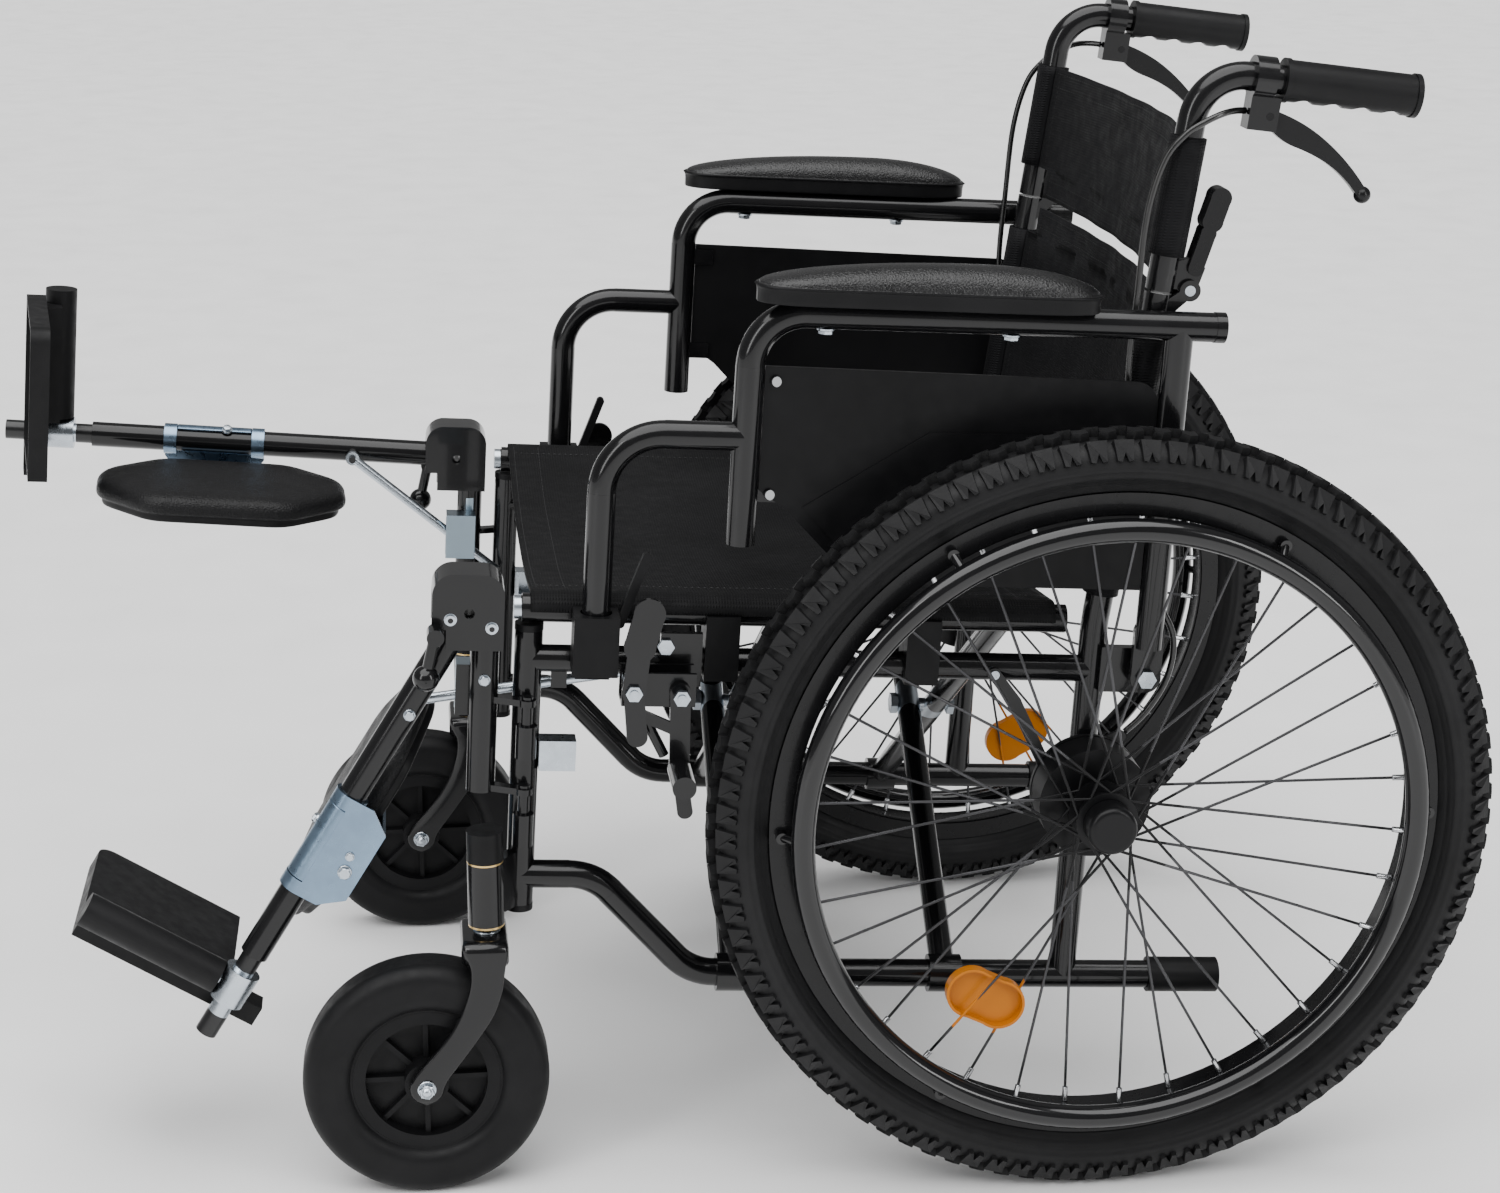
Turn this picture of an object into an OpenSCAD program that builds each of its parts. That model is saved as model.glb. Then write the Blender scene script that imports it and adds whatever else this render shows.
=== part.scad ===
// Folding all-terrain wheelchair with knobby rear tyres and elevating leg rests.
// The front faces -Y, the user's left side is +X and the floor is Z = 0.

/* [Rear wheels] */
// Radius over the tread blocks
wheel_r = 305; // [295:1:312]
// Distance of the wheel's middle plane from the middle of the chair
wheel_x = 309; // [306:1:325]
// Width of the tyre
tyre_w = 50; // [44:1:54]
// Height of the tread blocks
tread_h = 7; // [4:0.5:9]
// Tread blocks in one row, a multiple of four
tread_n = 60; // [44:4:64]
// Radius of the rim's flange
rim_r = 258; // [252:1:262]
// Width of the rim
rim_w = 28; // [24:1:30]
// Spokes in one wheel, a multiple of four
spoke_n = 36; // [28:4:40]
// Diameter of a spoke
spoke_d = 2.2; // [1.8:0.1:3]
// Radius of the hand rim at the middle of its tube
handrim_r = 235; // [226:1:238]
// Diameter of the hand rim's tube
handrim_d = 18; // [14:1:20]
// Distance of the hand rim from the wheel's middle plane
handrim_off = 34; // [30:1:42]
// Diameter of the rear axle
axle_d = 12; // [10:0.5:14]

/* [Casters] */
// Radius of the caster wheel
caster_r = 95; // [85:1:97]
// Width of the caster tyre
caster_w = 44; // [36:1:46]
// Distance of the swivel axis from the middle of the chair
caster_x = 260; // [256:1:266]
// Distance of the swivel axis in front of the rear axle
caster_ahead = 468; // [462:1:480]
// Distance of the caster's axle in front of the swivel axis
caster_trail = 49; // [40:1:56]

/* [Side frame] */
// Distance of a side frame from the middle of the chair
frame_x = 229; // [220:1:232]
// Diameter of the frame tube
tube_d = 22; // [20:0.5:24]
// Angle by which the frame rises towards the front
frame_pitch = 3.1; // [1:0.1:4]
// Distance of the front upright in front of the rear axle
upright_ahead = 437; // [434:1:440]
// Height of the side rail above the rear axle
side_rail_w = 92; // [88:1:94]
// Height of the seat rail above the rear axle
seat_rail_w = 132; // [128:1:136]
// Depth of the lower rail below the rear axle
low_rail_drop = 166; // [155:1:172]
// Angle by which the back cane leans to the rear
cane_lean = 5.5; // [3:0.5:7]
// Height of the back hinge above the rear axle
hinge_w = 390; // [384:1:394]
// Height of the push handle's corner above the rear axle
handle_w = 556; // [540:1:570]

/* [Armrests] */
// Distance of an armrest's tube from the middle of the chair
arm_x = 258; // [255:1:260]
// Height of the armrest's top tube above the rear axle
arm_w = 370; // [355:1:385]
// Length of the arm pad
pad_l = 258; // [220:1:280]
// Width of the arm pad
pad_w = 50; // [44:1:52]
// Thickness of the cushion on the arm pad
pad_t = 24; // [16:1:30]

/* [Leg rests] */
// Distance of a leg rest's tube from the middle of the chair
leg_x = 235; // [233:1:237]
// Length of the leg rest from its pivot to the end of the foot tube
leg_l = 398; // [385:1:420]
// Angle of the lowered left leg rest, below the frame's level
left_leg_drop = 61.1; // [40:0.1:62]
// Angle of the raised right leg rest, below the frame's level
right_leg_drop = -1.8; // [-2:0.1:30]
// Angle by which the left footplate is flipped up
left_foot_turn = 0; // [0:1:90]
// Angle by which the right footplate is flipped up
right_foot_turn = 8; // [0:1:90]
// Length of the footplate from heel to toe
foot_l = 157; // [130:1:165]
// Width of the footplate
foot_w = 150; // [110:1:152]
// Length of the calf pad
calf_l = 213; // [180:1:215]
// Width of the calf pad
calf_w = 143; // [110:1:150]

/* [Seat and back] */
// Thickness of the cloth panels
cloth_t = 4; // [2:0.5:5]
// Sag of the seat in the middle
seat_sag = 16; // [4:1:24]
// Sag of the back in the middle
back_sag = 24; // [4:1:36]

/* [Hidden] */
$fn = 64;
small_fn = 24;
hex_fn = 6;
tube_r = tube_d / 2;
// Gap between pieces of one body, gap between bodies, and radial play of a pivot
fit = 0.15;
run = 0.4;
play = 0.05;
over = 2;
// Bends are this much thinner than the tube, and a tube that runs into another one too
bend_step = 0.3;
joint_step = 0.5;
post_d = tube_d - joint_step;
side_rail_d = tube_d - joint_step * 2;

// Places of the frame in its own plane: u to the rear and w up, from the rear axle
upright_u = -upright_ahead;
upright_low = -107;
front_rail_w = -84;
low_rail_w = -low_rail_drop;
step_front_u = -380;
step_rear_u = -300;
rail_bend = 45;
rail_end_u = 122;
cane_knee_w = 130;
cane_bend = 150;
seat_front_u = -443;
seat_rear_u = -24;
function cane_u(w) = (w - cane_knee_w) * tan(cane_lean);
hinge_u = cane_u(hinge_w);
hinge_out = 11;
hinge_rise = 3;
hinge_axis = [hinge_u + tube_r + hinge_out, hinge_w + hinge_rise];
hinge_r = 8;
hinge_pin_d = 8;
hinge_lug_t = 4;
hinge_tongue = 9;
handle_end_u = 203;
handle_drop = 4;
handle_bend = 38;
handle_u = cane_u(handle_w);
handle_l = (handle_end_u - handle_u) / cos(handle_drop);

// Axle sleeve, drum brake and armrest pivot on the side frame
sleeve_d = 24;
sleeve_in = 14;
sleeve_out = 17;
drum_r = 44;
plate_t = 4;
arm_pivot_off = [36, 3];
arm_pivot = [arm_pivot_off.x, side_rail_w + arm_pivot_off.y];
// Plate that carries the pivot, from the level of the side rail
arm_plate = [[4, -14], [40, -14], [52, -6], [52, 18], [44, 22], [4, 22]];
arm_plate_x = frame_x + tube_r - plate_t;
arm_plate_out = 4.5;
arm_plate_t = plate_t + arm_plate_out;
arm_pin_d = 8;
arm_lug_r = 12;
arm_lug_t = 6;

// Sockets for the leg rest's pins
pin_d = 9;
pin_off = 18;
socket_d = 16;
socket_h = 26;
socket_tops = [44, -27];
lug_ws = [62, -9];
lug_t = 5;
lug_w = 9;
pin_boss_d = 13;
pin_x = frame_x + pin_off;

// Caster housing and fork
housing_d = 28;
housing_low = 217;
housing_top = 270;
housing_bore = 22;
stem_d = 12;
bearing_h = 9;
cap_h = 24;
web_t = 10;
web_low = 222;
web_h = 44;
crown_low = 196;
crown_h = 16;
crown_front = 20;
crown_rear = 16;
fork_t = 5;
fork_knee_w = 156;
fork_gap = 4;
fork_eye_r = 14;
caster_axle_d = 8;
nut_h = 6;
nut_d = 14;

// Saddles under the seat rail and socket of the armrest's front leg
saddle_us = [-389, -291, -136];
saddle_l = 26;
saddle_w = 34;
arm_leg_u = -389;
socket_l = 34;
socket_rise = 6;
socket_top_w = seat_rail_w + socket_rise;
socket_depth = 14;
socket_play = 1;
catch_lever = [[-371, -8], [-353, 44]];
catch_lever_w = 7;
catch_lever_t = 6;
cap_d = 28;
rail_cap_l = 57;
plug_h = 5;
upright_top = seat_rail_w - tube_r - plug_h - fit - run * 2;

// Parking brake, its places from the level of the side rail
brake_x = 280;
lever_t = 4;
lever_pivot = [-360, -9];
shoe_pivot = [-324, -12];
lever_top = [-351, 52];
lever_w = 24;
lever_tail = [-356, -44];
shoe_rod = [-322, -72];
shoe_rod_d = 18;
shoe_rod_l = 44;
shoe_bar_w = 16;
shoe_foot = [-316, -106];
brake_bolt_d = 7;
brake_head_d = 13;
bracket_u = [-368, -312];
bracket_w = [-24, 2];
clamp_u = [-338, -306];
clamp_w = [-16, 26];
clamp_bolt = [-334, 16];
bracket_out = 27;

// Cross tubes
cross_us = [-255, -85];
cross_d = 20;
cross_gap = 3;
cross_off = (cross_d + cross_gap) / 2;
cross_bolt_d = 10;
cross_mid_w = (seat_rail_w + low_rail_w) / 2;
sleeve_wall = 4;
cross_sleeve_l = 26;
cross_head_d = 18;
cross_head_t = 6;

// Origin: middle of the box on the floor
leg_pivot = [-483, 133];
leg_tube_d = 22;
foot_tube_d = 17;
world_drop = right_leg_drop - frame_pitch;
pivot_y = leg_pivot.x * cos(frame_pitch) + leg_pivot.y * sin(frame_pitch);
front_y = pivot_y - leg_l * cos(world_drop) - foot_tube_d / 2 * abs(sin(world_drop));
axle_y = -(front_y + wheel_r) / 2;

// Shared spaces

module on_side(s) {
  if (s > 0) children();
  else mirror([1, 0, 0]) children();
}

// Space of the tilted frame: x across, u to the rear and w up, from the rear axle
module frame_space() translate([0, axle_y, wheel_r]) rotate([-frame_pitch, 0, 0]) children();

// Draws in the side plane: the drawing's x is u, its y is w, and its height runs outwards from x
module side_plane(x) translate([x, 0, 0]) rotate([90, 0, 90]) children();

// Space at the level of the side rail, inside the frame's space
module on_rail() translate([0, 0, side_rail_w]) children();

module caster_space() translate([caster_x, axle_y - caster_ahead, 0]) children();

module wheel_space() translate([wheel_x, axle_y, wheel_r]) rotate([0, 90, 0]) children();

// Space of the push handle: y along the handle to the rear, from its corner
module handle_space() frame_space() translate([frame_x, handle_u, handle_w])
  rotate([-handle_drop, 0, 0]) children();

// Space of the back cane: z along the cane, from its knee
module cane_space() frame_space() translate([0, 0, cane_knee_w]) rotate([-cane_lean, 0, 0]) children();

// Space of a leg rest: y runs back along the leg tube to its pivot, z is its front side
module leg_space(drop) frame_space() translate([leg_x, leg_pivot.x, leg_pivot.y])
  rotate([drop, 0, 0]) children();

// Shared shapes

function dir2(a, b) = (b - a) / norm(b - a);
function turn2(a, b, c) = atan2(cross(b - a, c - b), (b - a) * (c - b));
function cut2(a, b, c, r) = r * tan(abs(turn2(a, b, c)) / 2);

module rod2(a, b, d) translate([a.x, a.y, 0]) rotate([0, 0, atan2(b.y - a.y, b.x - a.x)])
  rotate([0, 90, 0]) cylinder(d = d, h = norm(b - a));

module bend2(a, b, c, d, r) {
  turn = turn2(a, b, c);
  heading = atan2(b.y - a.y, b.x - a.x);
  start = b - dir2(a, b) * cut2(a, b, c, r);
  centre = start + sign(turn) * r * [-sin(heading), cos(heading)];
  reach = over / r * 180 / PI;
  translate([centre.x, centre.y, 0]) rotate([0, 0, heading - sign(turn) * 90 + min(turn, 0) - reach])
    rotate_extrude(angle = abs(turn) + reach * 2) translate([r, 0]) circle(d = d - bend_step);
}

// A tube of diameter d along the points p, with bends of radius r
module tube_run(p, d, r) {
  last = len(p) - 1;
  for (i = [0:last - 1]) {
    head = i > 0 ? cut2(p[i - 1], p[i], p[i + 1], r) : 0;
    tail = i < last - 1 ? cut2(p[i], p[i + 1], p[i + 2], r) : 0;
    rod2(p[i] + dir2(p[i], p[i + 1]) * head, p[i + 1] - dir2(p[i], p[i + 1]) * tail, d);
  }
  for (i = [1:1:last - 1]) bend2(p[i - 1], p[i], p[i + 1], d, r);
}

module rod3(a, b, d) translate(a)
  rotate([0, acos((b - a).z / norm(b - a)), atan2((b - a).y, (b - a).x)]) cylinder(d = d, h = norm(b - a));

// A rectangle from corner a to corner b
module box2(a, b) translate(a) square(b - a);

module round_rect2(w, h, r) {
  square([w - r * 2, h], center = true);
  square([w, h - r * 2], center = true);
  for (x = [-1, 1], y = [-1, 1]) translate([x * (w / 2 - r), y * (h / 2 - r)]) circle(r);
}

// A bar with round ends, a trace narrower between them
bar_share = 0.97;
module bar2(a, b, w) {
  translate(a) circle(d = w);
  translate(b) circle(d = w);
  translate(a) rotate(atan2(b.y - a.y, b.x - a.x)) translate([0, -w / 2 * bar_share])
    square([norm(b - a), w * bar_share]);
}

module pin2(p, d, h) translate([p.x, p.y, 0]) cylinder(d = d, h = h);

// A closed skin over rings of points that follow one another
module loft(rings) {
  n = len(rings[0]);
  last = len(rings) - 1;
  polyhedron(
    points = [for (ring = rings, p = ring) p],
    faces = concat(
      [for (j = [1:n - 2]) [0, j + 1, j]],
      [for (i = [0:last - 1], j = [0:n - 1]) [i * n + j, i * n + (j + 1) % n, (i + 1) * n + j]],
      [for (i = [0:last - 1], j = [0:n - 1])
        [i * n + (j + 1) % n, (i + 1) * n + (j + 1) % n, (i + 1) * n + j]],
      [for (j = [1:n - 2]) [last * n, last * n + j, last * n + j + 1]]));
}

// Rear wheel

tread_r = wheel_r - tread_h;
tyre_c = (rim_r + tread_r) / 2;
tread_row = 18;
row_gap = 2;
shoulder_h = 4;
block_share = 0.6;
bead_d = 8;
rim_wall = 2.5;
rim_floor = 8;
rim_d = 18;
flange_r = 24;
flange_off = 13;
flange_t = 3;
hub_d = 30;
drum_in = 27;
drum_out = 57;
drum_wall = 4;
hub_out = 18;
hub_cap_d = 38;
hub_cap_h = 12;
hub_cap_dome = 5;
hub_bearing_d = 24;
hub_bearing_w = 8;
nipple_d = 4.5;
nipple_l = 11;
cross_holes = 3;
rim_spoke_off = 3;
tab_n = 6;
tab_d = 7;
reflector_r = 170;
reflector_l = 64;
reflector_w = 40;
reflector_t = 9;
left_reflector_turn = -31;
right_reflector_turn = 23;
reflector_tilt = 95;

// A toothed disc whose blocks touch the radius r at their middles
module tooth_disc(r, low_r, turn) {
  half = 180 / tread_n * block_share;
  polygon([for (i = [0:tread_n - 1], e = [[-1, low_r], [-1, r], [1, r], [1, low_r]])
    let (a = turn + i * 360 / tread_n + e[0] * half) e[1] / cos(half) * [cos(a), sin(a)]]);
}

module tyre(s) color([0.05, 0.05, 0.055]) on_side(s) wheel_space() {
  half_bead = rim_w / 2 - rim_wall - fit;
  shoulder_r = tyre_w / 2 + shoulder_h;
  inner = tread_row / 2 + row_gap;
  outer = tyre_w / 2 - over / 2;
  rotate_extrude() {
    intersection() {
      translate([tyre_c, 0]) circle(d = tyre_w);
      translate([rim_r + fit, -tyre_w]) square([tread_r - rim_r - fit, tyre_w * 2]);
    }
    box2([rim_r - bead_d, -half_bead], [rim_r + over, half_bead]);
  }
  translate([0, 0, -tread_row / 2]) linear_extrude(tread_row) difference() {
    tooth_disc(wheel_r, tread_r - over, 0);
    circle(tread_r - over * 2);
  }
  for (e = [-1, 1]) intersection() {
    rotate_extrude() intersection() {
      translate([tyre_c, 0]) circle(shoulder_r);
      box2([tyre_c, e > 0 ? inner : -outer], [wheel_r, e > 0 ? outer : -inner]);
    }
    translate([0, 0, e > 0 ? inner : -outer]) linear_extrude(outer - inner) difference() {
      tooth_disc(wheel_r + over, tyre_c + tyre_w / 4, 180 / tread_n);
      circle(tyre_c + over);
    }
  }
}

module rim(s) color([0.09, 0.09, 0.1]) on_side(s) wheel_space() rotate_extrude() {
  box2([rim_r - rim_d, -rim_w / 2 + over], [rim_r - rim_d + rim_floor, rim_w / 2 - over]);
  for (e = [0, 1]) mirror([0, e]) box2([rim_r - rim_d + over, rim_w / 2 - rim_wall], [rim_r, rim_w / 2]);
}

function ring_point(r, a, z) = [r * cos(a), r * sin(a), z];

module spoke(i) {
  lean = floor(i / 2) % 2 == 0 ? 1 : -1;
  face = i % 2 == 0 ? 1 : -1;
  angle = (i * 2 + 1) * 180 / spoke_n;
  hub_end = ring_point(flange_r - flange_t, angle + lean * cross_holes * 720 / spoke_n, face * flange_off);
  rim_end = ring_point(rim_r - rim_d - fit * 4, angle, face * rim_spoke_off);
  rod3(hub_end, rim_end, spoke_d, $fn = small_fn);
  inner_end = rim_end + (hub_end - rim_end) / norm(hub_end - rim_end) * nipple_l;
  rod3(inner_end, rim_end, nipple_d, $fn = small_fn);
}

module hub_spokes(s) on_side(s) wheel_space() {
  color([0.08, 0.08, 0.09]) difference() {
    rotate_extrude() {
      box2([0, -drum_in - drum_wall], [hub_d / 2, hub_out]);
      for (e = [-1, 1]) box2([0, e * flange_off - flange_t / 2], [flange_r, e * flange_off + flange_t / 2]);
      box2([0, -drum_in - drum_wall], [drum_r - run, -drum_in]);
      box2([drum_r - run - drum_wall, -drum_out], [drum_r - run, -drum_in]);
      box2([0, hub_out - over], [hub_cap_d / 2, hub_out + hub_cap_h]);
      box2([0, hub_out], [hub_cap_d / 2 - hub_cap_dome, hub_out + hub_cap_h + hub_cap_dome]);
      translate([hub_cap_d / 2 - hub_cap_dome, hub_out + hub_cap_h]) circle(hub_cap_dome);
    }
    translate([0, 0, -drum_out - over])
      cylinder(d = axle_d + play * 2, h = drum_out + hub_out + hub_cap_h + over);
    for (z = [-drum_in - drum_wall - over, hub_out - hub_bearing_w]) translate([0, 0, z])
      cylinder(d = hub_bearing_d, h = hub_bearing_w + over);
    translate([0, 0, hub_out]) cylinder(d = hub_bearing_d, h = hub_cap_h);
  }
  color("silver") for (z = [-drum_in - drum_wall, hub_out - hub_bearing_w])
    translate([0, 0, z]) difference() {
      cylinder(d = hub_bearing_d - fit, h = hub_bearing_w - over);
      translate([0, 0, -over]) cylinder(d = axle_d + play * 2, h = hub_bearing_w + over);
    }
  color("gray") for (i = [0:spoke_n - 1]) spoke(i);
  color("orange") rotate(s > 0 ? left_reflector_turn : right_reflector_turn)
    translate([reflector_r, 0, -reflector_t / 2]) rotate([0, 0, reflector_tilt]) difference() {
      linear_extrude(reflector_t) reflector2(reflector_w);
      translate([0, 0, over]) linear_extrude(reflector_t) reflector2(reflector_w - over * 2);
    }
}

module reflector2(w) {
  end = (reflector_l - reflector_w) / 2;
  bar2([-end, 0], [end, 0], w);
}

module hand_rim(s) color([0.06, 0.06, 0.065]) on_side(s) wheel_space() {
  translate([0, 0, handrim_off]) rotate_extrude() translate([handrim_r, 0]) circle(d = handrim_d);
  for (i = [0:tab_n - 1]) {
    a = (i * 2 + 1) * 180 / tab_n;
    foot = ring_point(rim_r - rim_d / 2, a, rim_w / 2 + fit);
    translate(foot) cylinder(d = tab_d + over, h = tab_d);
    rod3(foot + [0, 0, tab_d / 2], ring_point(handrim_r, a, handrim_off), tab_d, $fn = small_fn);
  }
}

// Casters

caster_rim_r = 57;
caster_rim_w = 30;
caster_lip = 10;
caster_web = 8;
caster_hub_d = 34;
caster_rib_n = 8;
caster_rib_t = 4;
caster_round = 13;
fork_x = caster_w / 2 + fork_gap;

module caster_fork(s) color([0.07, 0.07, 0.075]) on_side(s) caster_space() {
  eye = [-caster_trail, caster_r];
  top_w = crown_low + crown_h;
  for (e = [-1, 1]) side_plane(e > 0 ? fork_x : -fork_x - fork_t) linear_extrude(fork_t) {
    translate(eye) circle(fork_eye_r);
    polygon([[-crown_front, top_w], [crown_rear, top_w], [crown_rear, fork_knee_w],
      [eye.x + fork_eye_r, eye.y], [eye.x - fork_eye_r, eye.y],
      [-crown_front - over, fork_knee_w + crown_h / 2]]);
  }
  side_plane(-fork_x - fork_t) linear_extrude((fork_x + fork_t) * 2)
    box2([-crown_front, crown_low], [crown_rear, top_w]);
  translate([0, 0, top_w - over]) cylinder(d = stem_d, h = housing_top - top_w + cap_h / 2);
  side_plane(-fork_x - fork_t - nut_h) pin2(eye, caster_axle_d, (fork_x + fork_t + nut_h) * 2);
  color("silver") for (x = [fork_x + fork_t, -fork_x - fork_t - nut_h]) side_plane(x)
    translate(eye) linear_extrude(nut_h) circle(d = nut_d, $fn = hex_fn);
}

module caster_wheel_space() caster_space() translate([0, -caster_trail, caster_r])
  rotate([0, 90, 0]) children();

module caster_tyre(s) color([0.05, 0.05, 0.05]) on_side(s) caster_wheel_space() rotate_extrude() {
  depth = caster_r - caster_rim_r - fit;
  translate([caster_r - depth / 2, 0]) round_rect2(depth, caster_w, caster_round);
  box2([caster_rim_r + fit, -caster_rim_w / 2], [caster_rim_r + depth / 2, caster_rim_w / 2]);
}

module caster_rim(s) color([0.08, 0.08, 0.085]) on_side(s) caster_wheel_space() difference() {
  union() {
    rotate_extrude() {
      box2([0, -caster_web / 2], [caster_rim_r, caster_web / 2]);
      box2([caster_rim_r - caster_lip, -caster_rim_w / 2], [caster_rim_r, caster_rim_w / 2]);
      box2([0, -caster_w / 2], [caster_hub_d / 2, caster_w / 2]);
    }
    for (i = [0:caster_rib_n - 1]) rotate(i * 360 / caster_rib_n)
      translate([caster_hub_d / 2 - over, -caster_rib_t / 2, -caster_rim_w / 3])
        cube([caster_rim_r - caster_hub_d / 2 - caster_lip + over * 2, caster_rib_t, caster_rim_w * 2 / 3]);
  }
  translate([0, 0, -caster_w]) cylinder(d = caster_axle_d + play * 2, h = caster_w * 2);
}

// Side frame

web_dx = frame_x - caster_x;
web_dy = upright_u * cos(frame_pitch) + upright_low * sin(frame_pitch) + caster_ahead;
tab_u = -413;
tab_drop = 12;
tab_t = 5;

module frame_tubes() side_plane(frame_x) {
  tube_run([[upright_u, upright_low], [upright_u, upright_top]], post_d, rail_bend);
  tube_run([[upright_u, side_rail_w], [0, side_rail_w]], side_rail_d, rail_bend);
  tube_run([[upright_u, front_rail_w], [step_front_u, front_rail_w], [step_rear_u, low_rail_w],
    [rail_end_u, low_rail_w]], tube_d, rail_bend);
  tube_run([[0, low_rail_w], [0, cane_knee_w], [hinge_u, hinge_w]], post_d, cane_bend);
}

module brake_bracket() {
  clamp_x = frame_x + tube_r - over;
  side_plane(clamp_x) linear_extrude(plate_t + over)
    box2([clamp_u.x, clamp_w.x], [clamp_u.y, clamp_w.y]);
  side_plane(clamp_x + plate_t) linear_extrude(plate_t)
    box2([bracket_u.x, bracket_w.x], [bracket_u.y, bracket_w.y]);
  side_plane(clamp_x + plate_t) linear_extrude(bracket_out)
    box2([bracket_u.x, bracket_w.x], [bracket_u.y, bracket_w.x + plate_t]);
  side_plane(clamp_x + bracket_out) linear_extrude(plate_t)
    box2([bracket_u.x, bracket_w.x], [bracket_u.y, bracket_w.y]);
}

module side_frame(s) color([0.1, 0.1, 0.105]) on_side(s) difference() {
  union() {
    frame_space() {
      frame_tubes();
      side_plane(frame_x - sleeve_in) pin2([0, 0], sleeve_d, sleeve_in + sleeve_out);
      on_rail() side_plane(arm_plate_x) linear_extrude(arm_plate_t) polygon(arm_plate);
      for (top = socket_tops) translate([pin_x, upright_u, top - socket_h])
        cylinder(d = socket_d, h = socket_h);
      for (x = [-hinge_tongue / 2 - run - hinge_lug_t, hinge_tongue / 2 + run]) side_plane(frame_x + x)
        linear_extrude(hinge_lug_t) {
          translate(hinge_axis) circle(hinge_r);
          polygon([[hinge_u, hinge_w - hinge_r], hinge_axis + [-hinge_r / 2, over],
            hinge_axis - [0, hinge_r - over], [hinge_u, hinge_w - hinge_r * 3]]);
        }
      side_plane(frame_x - tab_t / 2) linear_extrude(tab_t)
        box2([tab_u - tab_drop / 2, side_rail_w - tube_r - tab_drop], [tab_u + tab_drop / 2, side_rail_w]);
      on_rail() brake_bracket();
    }
    caster_space() {
      translate([0, 0, housing_low]) cylinder(d = housing_d, h = housing_top - housing_low);
      translate([0, 0, web_low]) rotate([0, 0, atan2(web_dy, web_dx)]) translate([0, -web_t / 2, 0])
        cube([norm([web_dx, web_dy]), web_t, web_h]);
    }
  }
  caster_space() translate([0, 0, housing_low - over])
    cylinder(d = housing_bore, h = housing_top - housing_low + over * 2);
  frame_space() {
    side_plane(frame_x - sleeve_in - over)
      pin2([0, 0], axle_d + play * 2, sleeve_in + sleeve_out + over * 2);
    for (top = socket_tops) translate([pin_x, upright_u, top - socket_h - over])
      cylinder(d = pin_d + play * 2, h = socket_h + over * 2);
    side_plane(arm_plate_x - over) pin2(arm_pivot, arm_pin_d + play * 2, arm_plate_t + over * 2);
    side_plane(frame_x - tube_r) pin2(hinge_axis, hinge_pin_d + play * 2, tube_d);
    for (p = [lever_pivot, shoe_pivot]) on_rail() side_plane(frame_x + tube_r)
      pin2(p, brake_bolt_d + play * 2, bracket_out + plate_t + over);
  }
}

module saddle(u) translate([frame_x, u, 0]) difference() {
  low = side_rail_w - tube_r;
  translate([-saddle_w / 2, -saddle_l / 2, low]) cube([saddle_w, saddle_l, seat_rail_w - low]);
  for (cut = [[side_rail_w, side_rail_d + fit * 2], [seat_rail_w, tube_d + run * 2]])
    translate([0, -saddle_l, cut[0]]) rotate([-90, 0, 0]) cylinder(d = cut[1], h = saddle_l * 2);
}

module frame_fittings(s) color([0.13, 0.13, 0.135]) on_side(s) {
  frame_space() {
    for (u = saddle_us) saddle(u);
    difference() {
      in_x = frame_x + tube_r + sling_clear + cloth_t + run;
      translate([in_x, arm_leg_u - socket_l / 2, side_rail_w])
        cube([arm_x + socket_l / 2 - in_x, socket_l, socket_top_w - side_rail_w]);
      translate([arm_x, arm_leg_u, socket_top_w - socket_depth - run])
        cylinder(d = tube_d + socket_play * 2, h = socket_depth * 2);
    }
    translate([0, 0, socket_top_w]) side_plane(arm_x - catch_lever_t / 2) linear_extrude(catch_lever_t)
      bar2(catch_lever[0], catch_lever[1], catch_lever_w);
    side_plane(frame_x) difference() {
      rod2([rail_end_u - rail_cap_l + plug_h, low_rail_w], [rail_end_u + plug_h, low_rail_w], cap_d);
      rod2([rail_end_u - rail_cap_l, low_rail_w], [rail_end_u + fit, low_rail_w], tube_d + fit * 2);
    }
    translate([frame_x, upright_u, upright_top + fit]) cylinder(d = tube_d, h = plug_h);
    translate([frame_x, upright_u, upright_low - plug_h - fit]) cylinder(d = tube_d, h = plug_h);
  }
  caster_space() {
    translate([0, 0, housing_top + fit]) difference() {
      cylinder(d = housing_d, h = cap_h);
      translate([0, 0, -over]) cylinder(d = stem_d + run * 2, h = cap_h - over);
    }
    color("silver") for (z = [housing_low, housing_top - bearing_h]) translate([0, 0, z]) difference() {
      cylinder(d = housing_bore - fit, h = bearing_h);
      translate([0, 0, -over]) cylinder(d = stem_d + play * 2, h = bearing_h + over * 2);
    }
  }
}

// Fasteners, drum brake plate and latch on the frame
axle_in = 22;
axle_nut_d = 24;
axle_nut_h = 8;
axle_end = hub_out + run + axle_nut_h;
arm_head_d = 15;
arm_head_h = 5;
washer_d = 18;
latch_l = 39;
latch_u = [upright_u + post_d / 2 + fit, upright_u + latch_l];
latch_w = [4, 28];
latch_t = 18;
reaction_bar = [[-80, side_rail_w], [-62, 70], [-34, 18]];
reaction_w = 10;
cam_arm = [[0, 30], [24, 42]];
cam_t = 3;

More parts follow.
